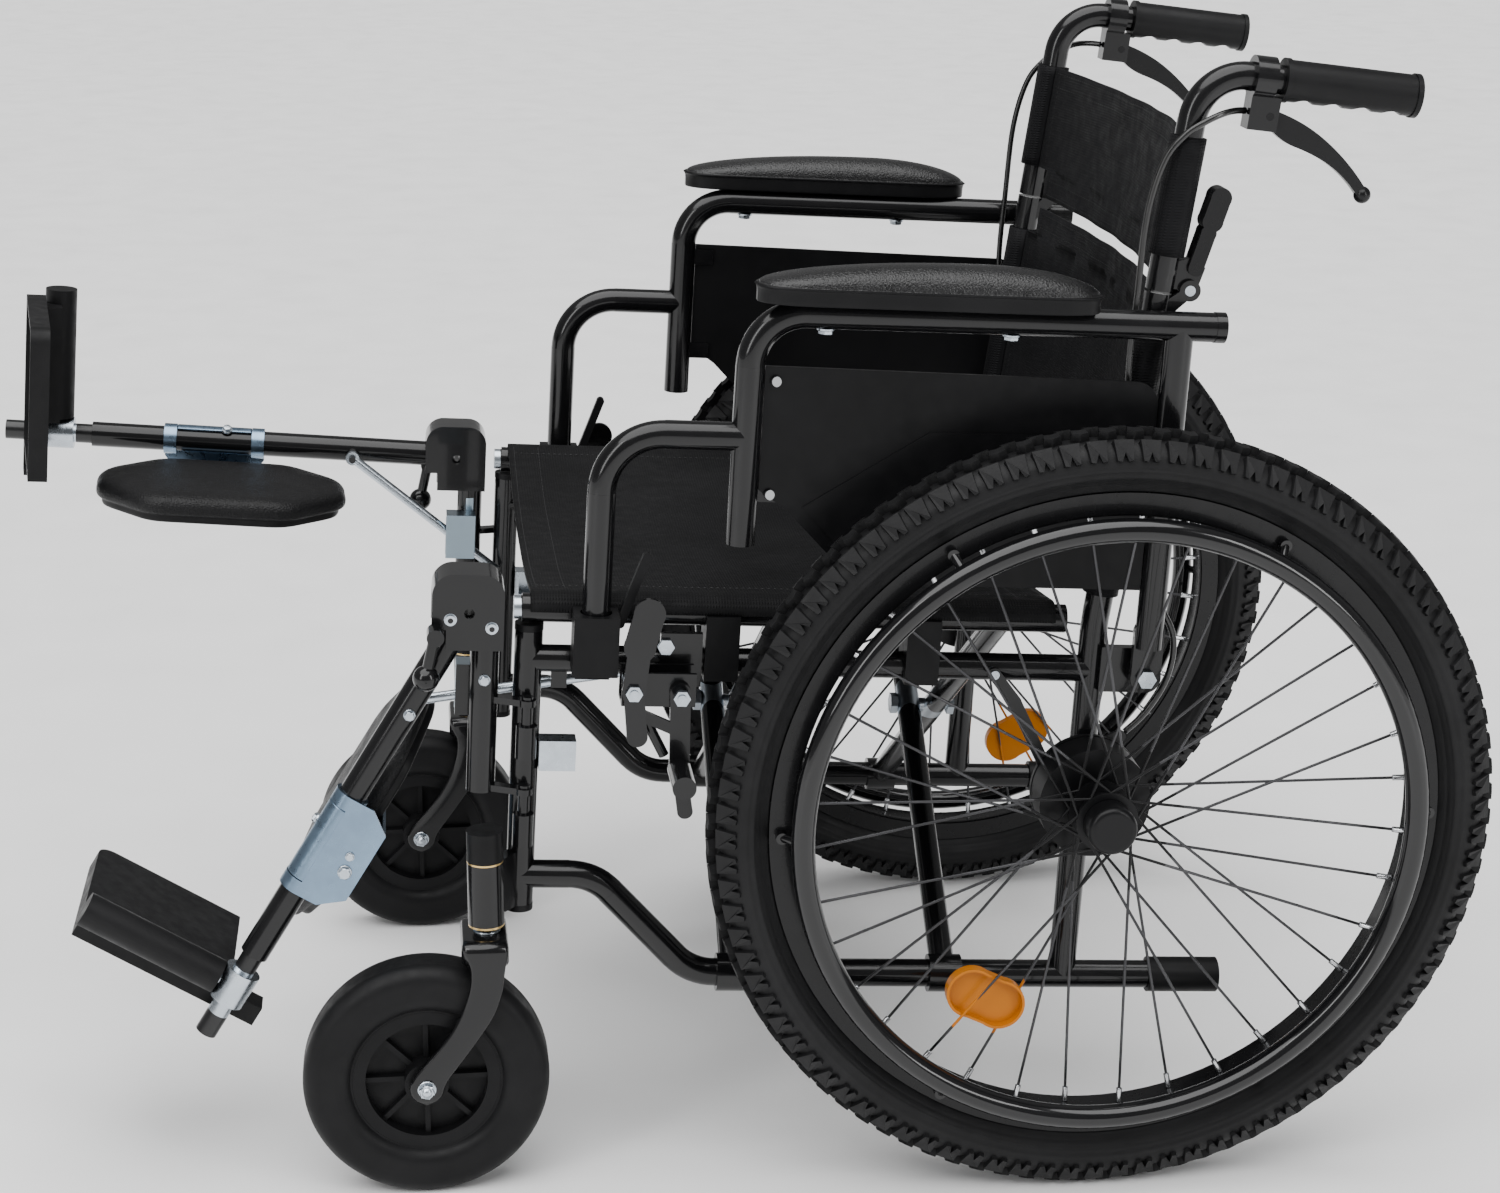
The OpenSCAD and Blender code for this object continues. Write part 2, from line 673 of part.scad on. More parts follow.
module frame_hardware(s) color([0.75, 0.76, 0.78]) on_side(s) frame_space() {
  plate_x = frame_x + sleeve_out + fit;
  arm_out = arm_x + arm_lug_t / 2 + run;
  side_plane(frame_x - axle_in) pin2([0, 0], axle_d, wheel_x - frame_x + axle_in + axle_end);
  side_plane(frame_x - axle_in) linear_extrude(axle_nut_h - fit) circle(d = axle_nut_d, $fn = hex_fn);
  side_plane(wheel_x + hub_out + run) linear_extrude(axle_nut_h)
    circle(d = hub_bearing_d - over * 2, $fn = hex_fn);
  side_plane(plate_x) difference() {
    linear_extrude(plate_t) {
      circle(drum_r);
      bar2(reaction_bar[1], reaction_bar[2], reaction_w);
      bar2(reaction_bar[0], reaction_bar[1], reaction_w);
    }
    translate([0, 0, -over]) cylinder(d = axle_d + play * 2, h = plate_t + over * 2);
  }
  side_plane(plate_x - cam_t) linear_extrude(cam_t) bar2(cam_arm[0], cam_arm[1], reaction_w);
  side_plane(frame_x + tube_r) pin2(reaction_bar[0], brake_bolt_d, sleeve_out - tube_r + plate_t + over);
  side_plane(arm_plate_x - over) pin2(arm_pivot, arm_pin_d, arm_out + arm_head_h - arm_plate_x + over);
  side_plane(arm_plate_x - over - arm_head_h) linear_extrude(arm_head_h) translate(arm_pivot)
    circle(d = arm_head_d, $fn = hex_fn);
  side_plane(arm_out) linear_extrude(arm_head_h) translate(arm_pivot) circle(d = arm_head_d, $fn = hex_fn);
  side_plane(arm_plate_x + arm_plate_t + fit) difference() {
    pin2(arm_pivot, washer_d, arm_x - arm_lug_t / 2 - run - arm_plate_x - arm_plate_t - fit);
    translate([0, 0, -over]) pin2(arm_pivot, arm_pin_d - over, arm_x);
  }
  side_plane(frame_x - hinge_tongue / 2 - run - hinge_lug_t) pin2(hinge_axis, hinge_pin_d,
    hinge_tongue + (run + hinge_lug_t) * 2);
  on_rail() side_plane(frame_x + tube_r + plate_t + fit) linear_extrude(lever_t) translate(clamp_bolt)
    circle(d = brake_head_d, $fn = hex_fn);
  on_rail() for (p = [lever_pivot, shoe_pivot]) {
    side_plane(frame_x + tube_r + plate_t) pin2(p, brake_bolt_d, brake_x - frame_x - tube_r + lever_t);
    side_plane(brake_x + lever_t / 2 + run) linear_extrude(lever_t) translate(p)
      circle(d = brake_head_d, $fn = hex_fn);
  }
  side_plane(frame_x - latch_t / 2) difference() {
    linear_extrude(latch_t) box2([latch_u.x, latch_w.x], [latch_u.y, latch_w.y]);
    translate([0, 0, -over]) linear_extrude(latch_t - cam_t + over)
      box2([latch_u.x + cam_t, latch_w.x + cam_t], [latch_u.y + over, latch_w.y - cam_t]);
  }
}

// Parking brake

lever_bend = [-357, 26];
shoe_x = brake_x - lever_t * 2;
link_front = [-352, -30];
link_rear = [-324, -42];
link_w = 9;
spring_a = [-348, -36];
spring_b = [-334, -62];
spring_d = 8;

module parking_lever(s) color([0.1, 0.1, 0.11]) on_side(s) frame_space() on_rail()
  side_plane(brake_x - lever_t / 2) difference() {
    linear_extrude(lever_t) {
      bar2(lever_pivot, lever_bend, lever_w * 3 / 4);
      bar2(lever_bend, lever_top, lever_w);
      bar2(lever_pivot, lever_tail, lever_w * 2 / 3);
    }
    translate([0, 0, -over]) pin2(lever_pivot, brake_bolt_d + play * 2, lever_t + over * 2);
  }

module parking_shoe(s) color([0.1, 0.1, 0.11]) on_side(s) frame_space() on_rail() {
  side_plane(shoe_x - lever_t / 2) difference() {
    linear_extrude(lever_t) {
      bar2(shoe_pivot, shoe_rod, shoe_bar_w);
      bar2(shoe_rod, shoe_foot, shoe_bar_w * 3 / 4);
      bar2(link_rear, link_front, link_w);
    }
    translate([0, 0, -over]) pin2(shoe_pivot, brake_bolt_d + play * 2, lever_t + over * 2);
  }
  side_plane(shoe_x) pin2(shoe_rod, shoe_rod_d, shoe_rod_l);
  color("silver") side_plane(shoe_x - lever_t / 2) rod2(spring_a, spring_b, spring_d);
}

// Back posts, grips and attendant brakes

grip_from = 62;
grip_d = 31;
grip_end = 4;
grip_l = handle_l - grip_from + fit + grip_end;
grip_lip = 2;
scallop_n = 4;
scallop_d = 24;
scallop_cut = 3;
scallop_shares = [0.8, 0.6];
perch_from = 39;
perch_l = 16;
perch_d = 32;
perch_w = 18;
perch_low = -38;
brake_pivot = [55, -27];
brake_t = 8;
brake_h = 11;
brake_arc_r = 150;
brake_dir = -12;
brake_sweep = 38;
brake_tip_d = 13;
release_off = [3, 17];
release_lean = 17;
release_share = 0.43;
release_pivot = hinge_axis + release_off;
release_tip = hinge_axis + [release_lean, (handle_w - hinge_axis.y) * release_share];
release_pin_d = 6;
release_w = 16;
release_t = 3;

module back_post(s) color([0.1, 0.1, 0.105]) on_side(s) {
  start_w = hinge_w + over;
  tongue_x = frame_x - hinge_tongue / 2;
  frame_space() difference() {
    union() {
      side_plane(frame_x) tube_run([[cane_u(start_w), start_w], [handle_u, handle_w],
        [handle_end_u, handle_w - (handle_end_u - handle_u) * tan(handle_drop)]], post_d, handle_bend);
      side_plane(tongue_x) linear_extrude(hinge_tongue) {
        translate(hinge_axis) circle(hinge_r);
        polygon([hinge_axis - [hinge_r - over, 0], hinge_axis + [hinge_r - over, 0],
          release_pivot + [release_w / 2, 0], release_pivot + [0, release_w / 2],
          [cane_u(release_pivot.y), release_pivot.y + over], [cane_u(start_w), start_w + over]]);
      }
    }
    side_plane(frame_x - tube_d) pin2(hinge_axis, hinge_pin_d + play * 2, tube_d * 2);
    side_plane(frame_x - tube_d) pin2(release_pivot, release_pin_d + play * 2, tube_d * 2);
  }
  handle_space() {
    translate([0, perch_from, 0]) rotate([-90, 0, 0]) difference() {
      cylinder(d = perch_d, h = perch_l);
      translate([0, 0, -over]) cylinder(d = post_d + fit * 2, h = perch_l + over * 2);
    }
    difference() {
      translate([-perch_w / 2, perch_from, perch_low])
        cube([perch_w, perch_l + (brake_h + over) / 2, -perch_low - tube_r - over]);
      translate([-brake_t / 2 - run, perch_from + over, perch_low - over])
        cube([brake_t + run * 2, perch_l * 2, -perch_low - tube_r - over * 2]);
      translate([-perch_w, brake_pivot.x, brake_pivot.y]) rotate([0, 90, 0])
        cylinder(d = release_pin_d + play * 2, h = perch_w * 2);
    }
  }
}

function scallop_y(i) = grip_from + (i + scallop_shares[0]) * grip_l / (scallop_n + scallop_shares[1]);

module push_grip(s) color([0.07, 0.07, 0.075]) on_side(s) handle_space() difference() {
  translate([0, grip_from, 0]) rotate([-90, 0, 0]) {
    cylinder(d = grip_d, h = grip_l);
    for (z = [0, grip_l - grip_end]) translate([0, 0, z]) cylinder(d = grip_d + grip_lip, h = grip_end);
  }
  translate([0, grip_from - over, 0]) rotate([-90, 0, 0])
    cylinder(d = post_d + fit * 2, h = grip_l - grip_end + over);
  for (i = [0:scallop_n - 1])
    translate([-grip_d, scallop_y(i), -grip_d / 2 - scallop_d / 2 + scallop_cut])
      rotate([0, 90, 0]) cylinder(d = scallop_d, h = grip_d * 2);
}

// Half widths of the lever's blade above and below its line, from the pivot to the tip
blade_top_shares = [0.5, 0.5, 0.5, 0.48, 0.44, 0.4, 0.37, 0.35, 0.34];
blade_low_shares = [0.5, 1, 1.15, 1, 0.8, 0.62, 0.5, 0.42, 0.38];
blade_steps = 3;

function blade_edge(shares, side) = smooth([for (i = [0:len(shares) - 1])
  let (a = 90 + brake_dir - brake_sweep * i / (len(shares) - 1))
  (brake_arc_r + side * shares[i] * brake_h) * [cos(a), sin(a)]], blade_steps);

module brake_lever(s) color([0.09, 0.09, 0.095]) on_side(s) handle_space() {
  centre = brake_pivot + brake_arc_r * [sin(brake_dir), -cos(brake_dir)];
  tip_a = 90 + brake_dir - brake_sweep;
  tip = centre + brake_arc_r * [cos(tip_a), sin(tip_a)];
  low_edge = blade_edge(blade_low_shares, -1);
  side_plane(0) {
    translate([centre.x, centre.y, -brake_t / 2]) linear_extrude(brake_t)
      polygon(concat(blade_edge(blade_top_shares, 1), [for (i = [len(low_edge) - 1:-1:0]) low_edge[i]]));
    translate([tip.x, tip.y, 0]) sphere(d = brake_tip_d);
    translate([0, 0, -brake_t / 2]) pin2(brake_pivot, brake_h + over, brake_t);
    translate([0, 0, -perch_w / 2]) pin2(brake_pivot, release_pin_d, perch_w);
  }
}

// Route of the brake cable in the frame's space, as distance from the middle, u and w
cable_d = 5;
cable_sides = 8;
cable_steps = 4;
cable_route = [[229, 77, 528], [234, 68, 528], [240.5, 57, 526], [243.2, 44, 520], [243.2, 30, 510],
  [243.2, 16, 490], [243.2, 7, 450], [244, 5, 390], [244, 4, 330], [246, 10, 260], [245, 26, 190],
  [243.4, 46, 150], [243, 60, 122], [243, 58, 90], [243, 44, 62], [243, 28.6, 45.1]];

function curve(a, b, c, d, t) = (b * 2 + (c - a) * t + (a * 2 - b * 5 + c * 4 - d) * t * t
  + (b * 3 - a - c * 3 + d) * t * t * t) / 2;
function pick(p, i) = p[max(0, min(len(p) - 1, i))];
function smooth(p, n) = concat([for (i = [0:len(p) - 2], k = [0:n - 1])
  curve(pick(p, i - 1), p[i], p[i + 1], pick(p, i + 2), k / n)], [p[len(p) - 1]]);

// A round cord along points that never run straight along X
module cord(p, d, sides) loft([for (i = [0:len(p) - 1])
  let (
    t = (pick(p, i + 1) - pick(p, i - 1)) / norm(pick(p, i + 1) - pick(p, i - 1)),
    across = cross(t, [1, 0, 0]) / norm(cross(t, [1, 0, 0])),
    up = cross(across, t))
  [for (k = [0:sides - 1]) p[i] + d / 2 * (cos(k * 360 / sides) * across + sin(k * 360 / sides) * up)]]);

module brake_cable(s) color([0.04, 0.04, 0.045]) on_side(s) frame_space()
  cord(smooth(cable_route, cable_steps), cable_d, cable_sides);

module back_release(s) color([0.09, 0.09, 0.095]) on_side(s) frame_space() {
  for (x = [-hinge_tongue / 2 - run - release_t, hinge_tongue / 2 + run]) side_plane(frame_x + x)
    linear_extrude(release_t) bar2(release_pivot, (release_pivot + release_tip) / 2, release_w * 3 / 4);
  side_plane(frame_x - hinge_tongue / 2 - run - release_t) {
    pin2(release_pivot, release_pin_d, hinge_tongue + (run + release_t) * 2);
    linear_extrude(hinge_tongue + (run + release_t) * 2)
      bar2((release_pivot + release_tip * 2) / 3, release_tip, release_w);
  }
}

// Armrests

arm_front_u = -284;
arm_low_w = 194;
arm_bend = 40;
arm_end_u = 62;
step_w = 276;
leg_bend = 45;
arm_leg_w = socket_top_w - socket_depth;
tab_ws = [319, 233];
tab_l = 16;
tab_h = 14;
skirt_t = 3;
screw_d = 8;
screw_h = 3;
arm_plug_lip = 1;
arm_plug_d = tube_d + arm_plug_lip;
arm_plug_l = 8;
pad_out = 13;
pad_x = arm_x + pad_out;
pad_base = 8;
pad_front_u = -286;
pad_low_w = arm_w + tube_r + fit;
pad_rings = 22;
pad_sides = 20;
// Shares of the pad's form: ends in plan, ends in height, section, and height above and below its lip
pad_end_shares = [0.86, 0.14];
pad_fall_shares = [0.72, 0.28];
pad_section_shares = [0.55, 0.8];
pad_lip_shares = [0.7, 0.3];
pad_end_power = 8;
pad_fall_power = 5;

module armrest_frame(s) color([0.1, 0.1, 0.105]) on_side(s) frame_space() difference() {
  union() {
    side_plane(arm_x) {
      tube_run([[arm_front_u, arm_low_w], [arm_front_u, arm_w], [arm_end_u, arm_w]], tube_d, arm_bend);
      tube_run([[arm_front_u, step_w], [arm_leg_u, step_w], [arm_leg_u, arm_leg_w]], post_d, leg_bend);
      tube_run([[arm_pivot.x, arm_w], [arm_pivot.x, arm_pivot.y + arm_lug_r * 2]], post_d, arm_bend);
      rod2([arm_end_u, arm_w], [arm_end_u + arm_plug_l, arm_w], arm_plug_d);
    }
    side_plane(arm_x - arm_lug_t / 2) linear_extrude(arm_lug_t)
      bar2(arm_pivot, arm_pivot + [0, arm_lug_r * 3], arm_lug_r * 2);
    for (w = tab_ws) side_plane(arm_x - skirt_t / 2 - fit - skirt_t) linear_extrude(skirt_t)
      box2([arm_front_u, w - tab_h / 2], [arm_front_u + tube_r + tab_l, w + tab_h / 2]);
  }
  side_plane(arm_x - arm_lug_t) pin2(arm_pivot, arm_pin_d + play * 2, arm_lug_t * 2);
}

// Share of the pad's half width and height around its section
function pad_ring(i) = let (
    t = i / (pad_rings - 1) * 2 - 1,
    wide = sqrt(1 - pow(abs(t), pad_end_power)) * pad_end_shares[0] + pad_end_shares[1],
    tall = sqrt(1 - pow(abs(t), pad_fall_power)) * pad_fall_shares[0] + pad_fall_shares[1])
  [for (k = [0:pad_sides - 1])
    let (
      a = k * 360 / pad_sides,
      px = sign(cos(a)) * pow(abs(cos(a)), pad_section_shares[0]),
      pz = sign(sin(a)) * pow(abs(sin(a)), pad_section_shares[1]),
      rise = pz > 0 ? tall * pad_lip_shares[0] : pad_lip_shares[1])
    [px * wide * (pad_w / 2 - max(-pz, 0) * over), t * pad_l / 2, pz * rise * pad_t]];

module pad_space() frame_space() translate([pad_x, pad_front_u + pad_l / 2, pad_low_w]) children();

module armrest_pad(s) color([0.12, 0.12, 0.125]) on_side(s) pad_space() {
  end = pad_l / 2 - pad_w / 2;
  rotate([0, 0, 90]) linear_extrude(pad_base) bar2([-end, 0], [end, 0], pad_w - over * 2);
  translate([0, 0, pad_base + pad_t * pad_lip_shares[1] + fit])
    loft([for (i = [0:pad_rings - 1]) pad_ring(i)]);
}

skirt_front_u = arm_front_u + tube_r + fit;
skirt_rear_u = arm_pivot.x - tube_r - fit;
skirt_low_w = 165;
skirt_top_w = arm_w - arm_bend;
skirt_drop = 3;
skirt_round = 18;
skirt_toe = [22, 15];
skirt_step = [78, 71];
rib_t = 1;
rib_in = 12;

module skirt_guard(s) color([0.09, 0.09, 0.095]) on_side(s) frame_space() {
  top_rear = skirt_top_w - skirt_drop;
  corner = [skirt_rear_u - skirt_round, top_rear - skirt_round];
  side_plane(arm_x - skirt_t / 2) linear_extrude(skirt_t) {
    polygon([[skirt_front_u, skirt_top_w], [corner.x, top_rear], corner, [skirt_rear_u, corner.y],
      [skirt_rear_u, skirt_low_w], [skirt_front_u + skirt_step.x, skirt_low_w],
      [skirt_front_u + skirt_toe.x, skirt_low_w + skirt_step.y - skirt_toe.y],
      [skirt_front_u, skirt_low_w + skirt_step.y]]);
    translate(corner) circle(skirt_round);
  }
  side_plane(arm_x + skirt_t / 2) linear_extrude(rib_t)
    polygon([[skirt_front_u + skirt_toe.x + rib_in, skirt_low_w + skirt_step.y - rib_in],
      [skirt_front_u + skirt_step.x + rib_in * 4, skirt_low_w + skirt_step.y + rib_in * 4],
      [skirt_rear_u - rib_in, skirt_low_w + skirt_step.y + rib_in * 4],
      [skirt_rear_u - rib_in, skirt_low_w + rib_in], [skirt_front_u + skirt_step.x, skirt_low_w + rib_in]]);
  color("silver") for (w = tab_ws) side_plane(arm_x + skirt_t / 2 + fit)
    pin2([skirt_front_u + screw_d, w], screw_d, screw_h);
}

// Leg rests

post_u = -470;
post_low = -12;
post_top = 112;
knuckle_t = 6;
knuckle_u = [-511, -457];
knuckle_w = [104, 163];
knuckle_round = 16;
slot_w = leg_tube_d + run * 4;
head_r = 14;
leg_pin_d = 8;
roof_w = leg_pivot.y + head_r + run;
back_wall_u = leg_pivot.x + head_r + run;
knuckle_screws = [[-497, 128], [-466, 122]];
strut_gap = 11;
strut_x = leg_x - leg_tube_d / 2 - strut_gap;
catch_p = [-478, 58];
catch_t = 3;
catch_l = 26;
catch_drop = 14;
catch_rise = 26;
strut_d = 8;
bulb_p = [[-508, 118], [-514, 84]];
bulb_d = 20;
bulb_neck = 9;
strut_joint = [93, -3];
strut_lug_t = 6;

module swing_lug(w) {
  run_l = norm([pin_x - leg_x, upright_u - post_u]);
  translate([leg_x, post_u, w - lug_t / 2]) rotate([0, 0, atan2(upright_u - post_u, pin_x - leg_x)])
    translate([0, -lug_w / 2, 0]) cube([run_l, lug_w, lug_t]);
  translate([pin_x, upright_u, w - lug_t / 2]) cylinder(d = pin_boss_d, h = lug_t);
}

module knuckle() difference() {
  outer_t = slot_w / 2 + knuckle_t;
  mid_u = (knuckle_u.x + knuckle_u.y) / 2;
  side_plane(leg_x - outer_t) linear_extrude(outer_t * 2) {
    box2([knuckle_u.x, knuckle_w.x + knuckle_round], [knuckle_u.y, knuckle_w.y - knuckle_round]);
    box2([mid_u - knuckle_round, knuckle_w.x], [knuckle_u.y, knuckle_w.y - knuckle_round]);
    box2([knuckle_u.x + knuckle_round, knuckle_w.y - knuckle_round],
      [knuckle_u.y - knuckle_round, knuckle_w.y]);
    for (u = [knuckle_u.x + knuckle_round, knuckle_u.y - knuckle_round])
      translate([u, knuckle_w.y - knuckle_round]) circle(knuckle_round);
  }
  side_plane(leg_x - slot_w / 2) linear_extrude(slot_w)
    box2([knuckle_u.x - over, knuckle_w.x - over], [back_wall_u, roof_w]);
  side_plane(leg_x - slot_w / 2) linear_extrude(slot_w)
    box2([back_wall_u - over, knuckle_w.x - over], [knuckle_u.y + over, post_top + fit]);
  side_plane(leg_x - outer_t * 2) pin2(leg_pivot, leg_pin_d + play * 2, outer_t * 4);
}

module legrest_hanger(s) color([0.1, 0.1, 0.105]) on_side(s) frame_space() {
  translate([leg_x, post_u, post_low]) cylinder(d = leg_tube_d, h = post_top - post_low);
  for (w = lug_ws) swing_lug(w);
  color("silver") for (i = [0, 1]) translate([pin_x, upright_u, socket_tops[i] - socket_h])
    cylinder(d = pin_d, h = lug_ws[i] + lug_t - socket_tops[i] + socket_h);
  knuckle();
  outer_t = slot_w / 2 + knuckle_t;
  color("silver") for (p = knuckle_screws) side_plane(leg_x + outer_t) pin2(p, screw_d, screw_h);
  side_plane(leg_x + outer_t - over) {
    pin2(bulb_p[0], bulb_neck + over * 2, bulb_neck * 2);
    translate([0, 0, bulb_neck]) {
      rod2(bulb_p[0], bulb_p[1], bulb_neck);
      translate([bulb_p[1].x, bulb_p[1].y, 0]) sphere(d = bulb_d);
    }
  }
  color("silver") difference() {
    far_x = strut_x - strut_d / 2 - run * 2 - catch_t;
    side_plane(far_x) linear_extrude(leg_x - leg_tube_d / 2 - far_x + over)
      box2(catch_p - [catch_l / 2, catch_drop], catch_p + [catch_l / 2, catch_rise]);
    side_plane(far_x + catch_t) linear_extrude(strut_d + run * 4)
      box2(catch_p - [catch_l, catch_drop * 2], catch_p + [catch_l, catch_rise - catch_t]);
  }
}

clamp_back = 45;
clamp_at = leg_l - clamp_back;
tube_back = 75;
leg_tube_end = leg_l - tube_back;
bore_l = 143;
leg_bore_from = leg_tube_end - bore_l;
bracket_back = 151;
bracket_from = leg_tube_end - bracket_back;
calf_ahead = 75;
calf_from = bracket_from - calf_ahead;
calf_in = 22;
calf_board = 7;
calf_low = -34;
calf_t = 26;
calf_corner = 46;
bracket_l = 88;
bracket_t = 2.5;
bracket_d = 27;
strap_l = 11;
bracket_low = calf_low - fit - bracket_t;
bracket_arm = 120;
bracket_arm_l = 60;

module leg_tube(s, drop) color([0.1, 0.1, 0.105]) on_side(s) leg_space(drop) difference() {
  union() {
    rotate([90, 0, 0]) cylinder(d = leg_tube_d, h = leg_tube_end);
    translate([-slot_w / 2 + run, 0, 0]) rotate([0, 90, 0]) cylinder(r = head_r, h = slot_w - run * 2);
    translate([0, -strut_joint.x, strut_joint.y]) rotate([0, -90, 0])
      cylinder(d = strut_lug_t * 2, h = leg_x - strut_x - strut_d / 2 - run);
    translate([0, -strut_joint.x, strut_joint.y]) rotate([0, -90, 0])
      cylinder(d = strut_lug_t, h = leg_x - strut_x + strut_d);
  }
  translate([0, -leg_bore_from, 0]) rotate([90, 0, 0])
    cylinder(d = foot_tube_d + play * 4, h = leg_tube_end);
  translate([-slot_w, 0, 0]) rotate([0, 90, 0]) cylinder(d = leg_pin_d - over, h = slot_w * 2);
}

module calf_bracket(s, drop) color([0.72, 0.75, 0.8]) on_side(s) leg_space(drop) difference() {
  mid = bracket_from + bracket_l / 2;
  plate_x = bracket_d / 2 - bracket_t;
  union() {
    for (s = [bracket_from, bracket_from + bracket_l - strap_l]) translate([0, -s, 0]) rotate([90, 0, 0])
      cylinder(d = bracket_d, h = strap_l);
    side_plane(plate_x) linear_extrude(bracket_t) polygon([[-bracket_from, 0],
      [-bracket_from - bracket_l, 0], [-bracket_from - bracket_l, bracket_low / 2],
      [-mid - bracket_arm_l / 2, bracket_low],
      [-mid + bracket_arm_l / 2, bracket_low], [-bracket_from, bracket_low / 2]]);
    translate([-bracket_arm, -mid - bracket_arm_l / 2, bracket_low])
      cube([bracket_arm + plate_x + bracket_t, bracket_arm_l, bracket_t]);
  }
  rotate([90, 0, 0]) cylinder(d = leg_tube_d + run, h = leg_l);
}

// Plan of the calf pad: an octagon with rounded corners, grown by the share given
function calf_plan(grow, n) = let (
    l = calf_l / 2,
    w = calf_w / 2,
    c = calf_corner,
    raw = [[l, -w + c], [l, w - c], [l - c, w], [-l + c, w], [-l, w - c], [-l, -w + c], [-l + c, -w],
      [l - c, -w]])
  [for (i = [0:7], k = [-1, 0, 1])
    let (
      a = raw[i],
      b = raw[(i + 1) % 8],
      z = raw[(i + 7) % 8],
      soft = calf_corner / 4,
      p = k == 0 ? a + (dir2(a, b) + dir2(a, z)) * soft / 4 : a + dir2(a, k > 0 ? b : z) * soft)
    [-calf_in - w + p.y * grow, -calf_from - l + p.x * grow, n]];

board_share = 0.95;
calf_shares = [[0.93, 0.27], [0.99, 0.4], [1, 0.6], [0.97, 0.8], [0.9, 0.9], [0.74, 0.96], [0.4, 1]];

module calf_pad(s, drop) color([0.08, 0.08, 0.085]) on_side(s) leg_space(drop) {
  loft([for (e = [0, 1]) calf_plan(board_share, calf_low + e * calf_board)]);
  loft([for (e = calf_shares) calf_plan(e[0], calf_low + fit + e[1] * calf_t)]);
}

clamp_r = 14;
spindle_d = 12;
barrel_d = 27;
barrel_low = clamp_r + run;
barrel_l = 103;
foot_from = -31;
foot_t = 8;
foot_lip = 16;
foot_lip_t = 5;
foot_off = 14;
foot_in = max(barrel_d / 2, clamp_r) + run;
foot_notch = [22, 28];
foot_round = 14;

module foot_tube(s, drop) on_side(s) leg_space(drop) {
  color([0.7, 0.72, 0.74]) translate([0, -leg_bore_from - over * 5, 0]) rotate([90, 0, 0])
    cylinder(d = foot_tube_d, h = leg_l - leg_bore_from - over * 5);
  color("silver") translate([0, -clamp_at + clamp_r, 0]) rotate([90, 0, 0])
    cylinder(r = clamp_r, h = clamp_r * 2);
  color("silver") translate([0, -clamp_at, 0]) cylinder(d = spindle_d, h = barrel_low + barrel_l);
}

module foot_space(drop, turn) leg_space(drop) translate([0, -clamp_at, 0]) rotate([0, 0, -turn]) children();

module footplate(s, drop, turn) color([0.11, 0.11, 0.115]) on_side(s) foot_space(drop, turn) {
  plate_y = -foot_off;
  difference() {
    union() {
      translate([0, 0, barrel_low]) cylinder(d = barrel_d, h = barrel_l + spindle_d);
      translate([-foot_in - barrel_d / 2, plate_y - over, barrel_low])
        cube([barrel_d / 2 + foot_in, foot_off + over, barrel_l]);
    }
    translate([0, 0, barrel_low - over]) cylinder(d = spindle_d + play * 2, h = barrel_l + over + run);
  }
  translate([0, plate_y, 0]) rotate([90, 0, 0]) difference() {
    linear_extrude(foot_lip) foot_outline(0);
    translate([0, 0, foot_t]) linear_extrude(foot_lip) foot_outline(foot_lip_t);
  }
}

// Outline of the footplate: across towards the middle, and up from heel to toe
module foot_outline(inset) {
  near = -foot_in - inset;
  far = -foot_in - foot_w + inset;
  low = foot_from + inset;
  top = foot_from + foot_l - inset;
  step = [near - foot_notch.x + inset, foot_from + foot_notch.y + inset];
  polygon([[near, low], [near, top], [far + foot_round, top], [far + foot_round, top - foot_round],
    [far, top - foot_round], [far, step.y], [step.x, step.y], [step.x, low]]);
  translate([far + foot_round, top - foot_round]) circle(foot_round);
}

strut_l = 165;

// The strut runs from its joint on the leg tube through the catch on the hanger
module strut(s, drop) color([0.75, 0.77, 0.8]) on_side(s) frame_space() {
  joint = leg_pivot + [-strut_joint.x * cos(drop) - strut_joint.y * sin(drop),
    -strut_joint.x * sin(drop) + strut_joint.y * cos(drop)];
  aim = dir2(joint, catch_p);
  side_plane(strut_x) difference() {
    union() {
      rod2(joint, joint + aim * strut_l, strut_d);
      translate([0, 0, -strut_d * 3 / 8]) pin2(joint, strut_lug_t * 2, strut_d * 3 / 4);
    }
    translate([0, 0, -strut_d]) pin2(joint, strut_lug_t + play * 2, strut_d * 2);
  }
}

// Cross tubes with the seat rails that they carry

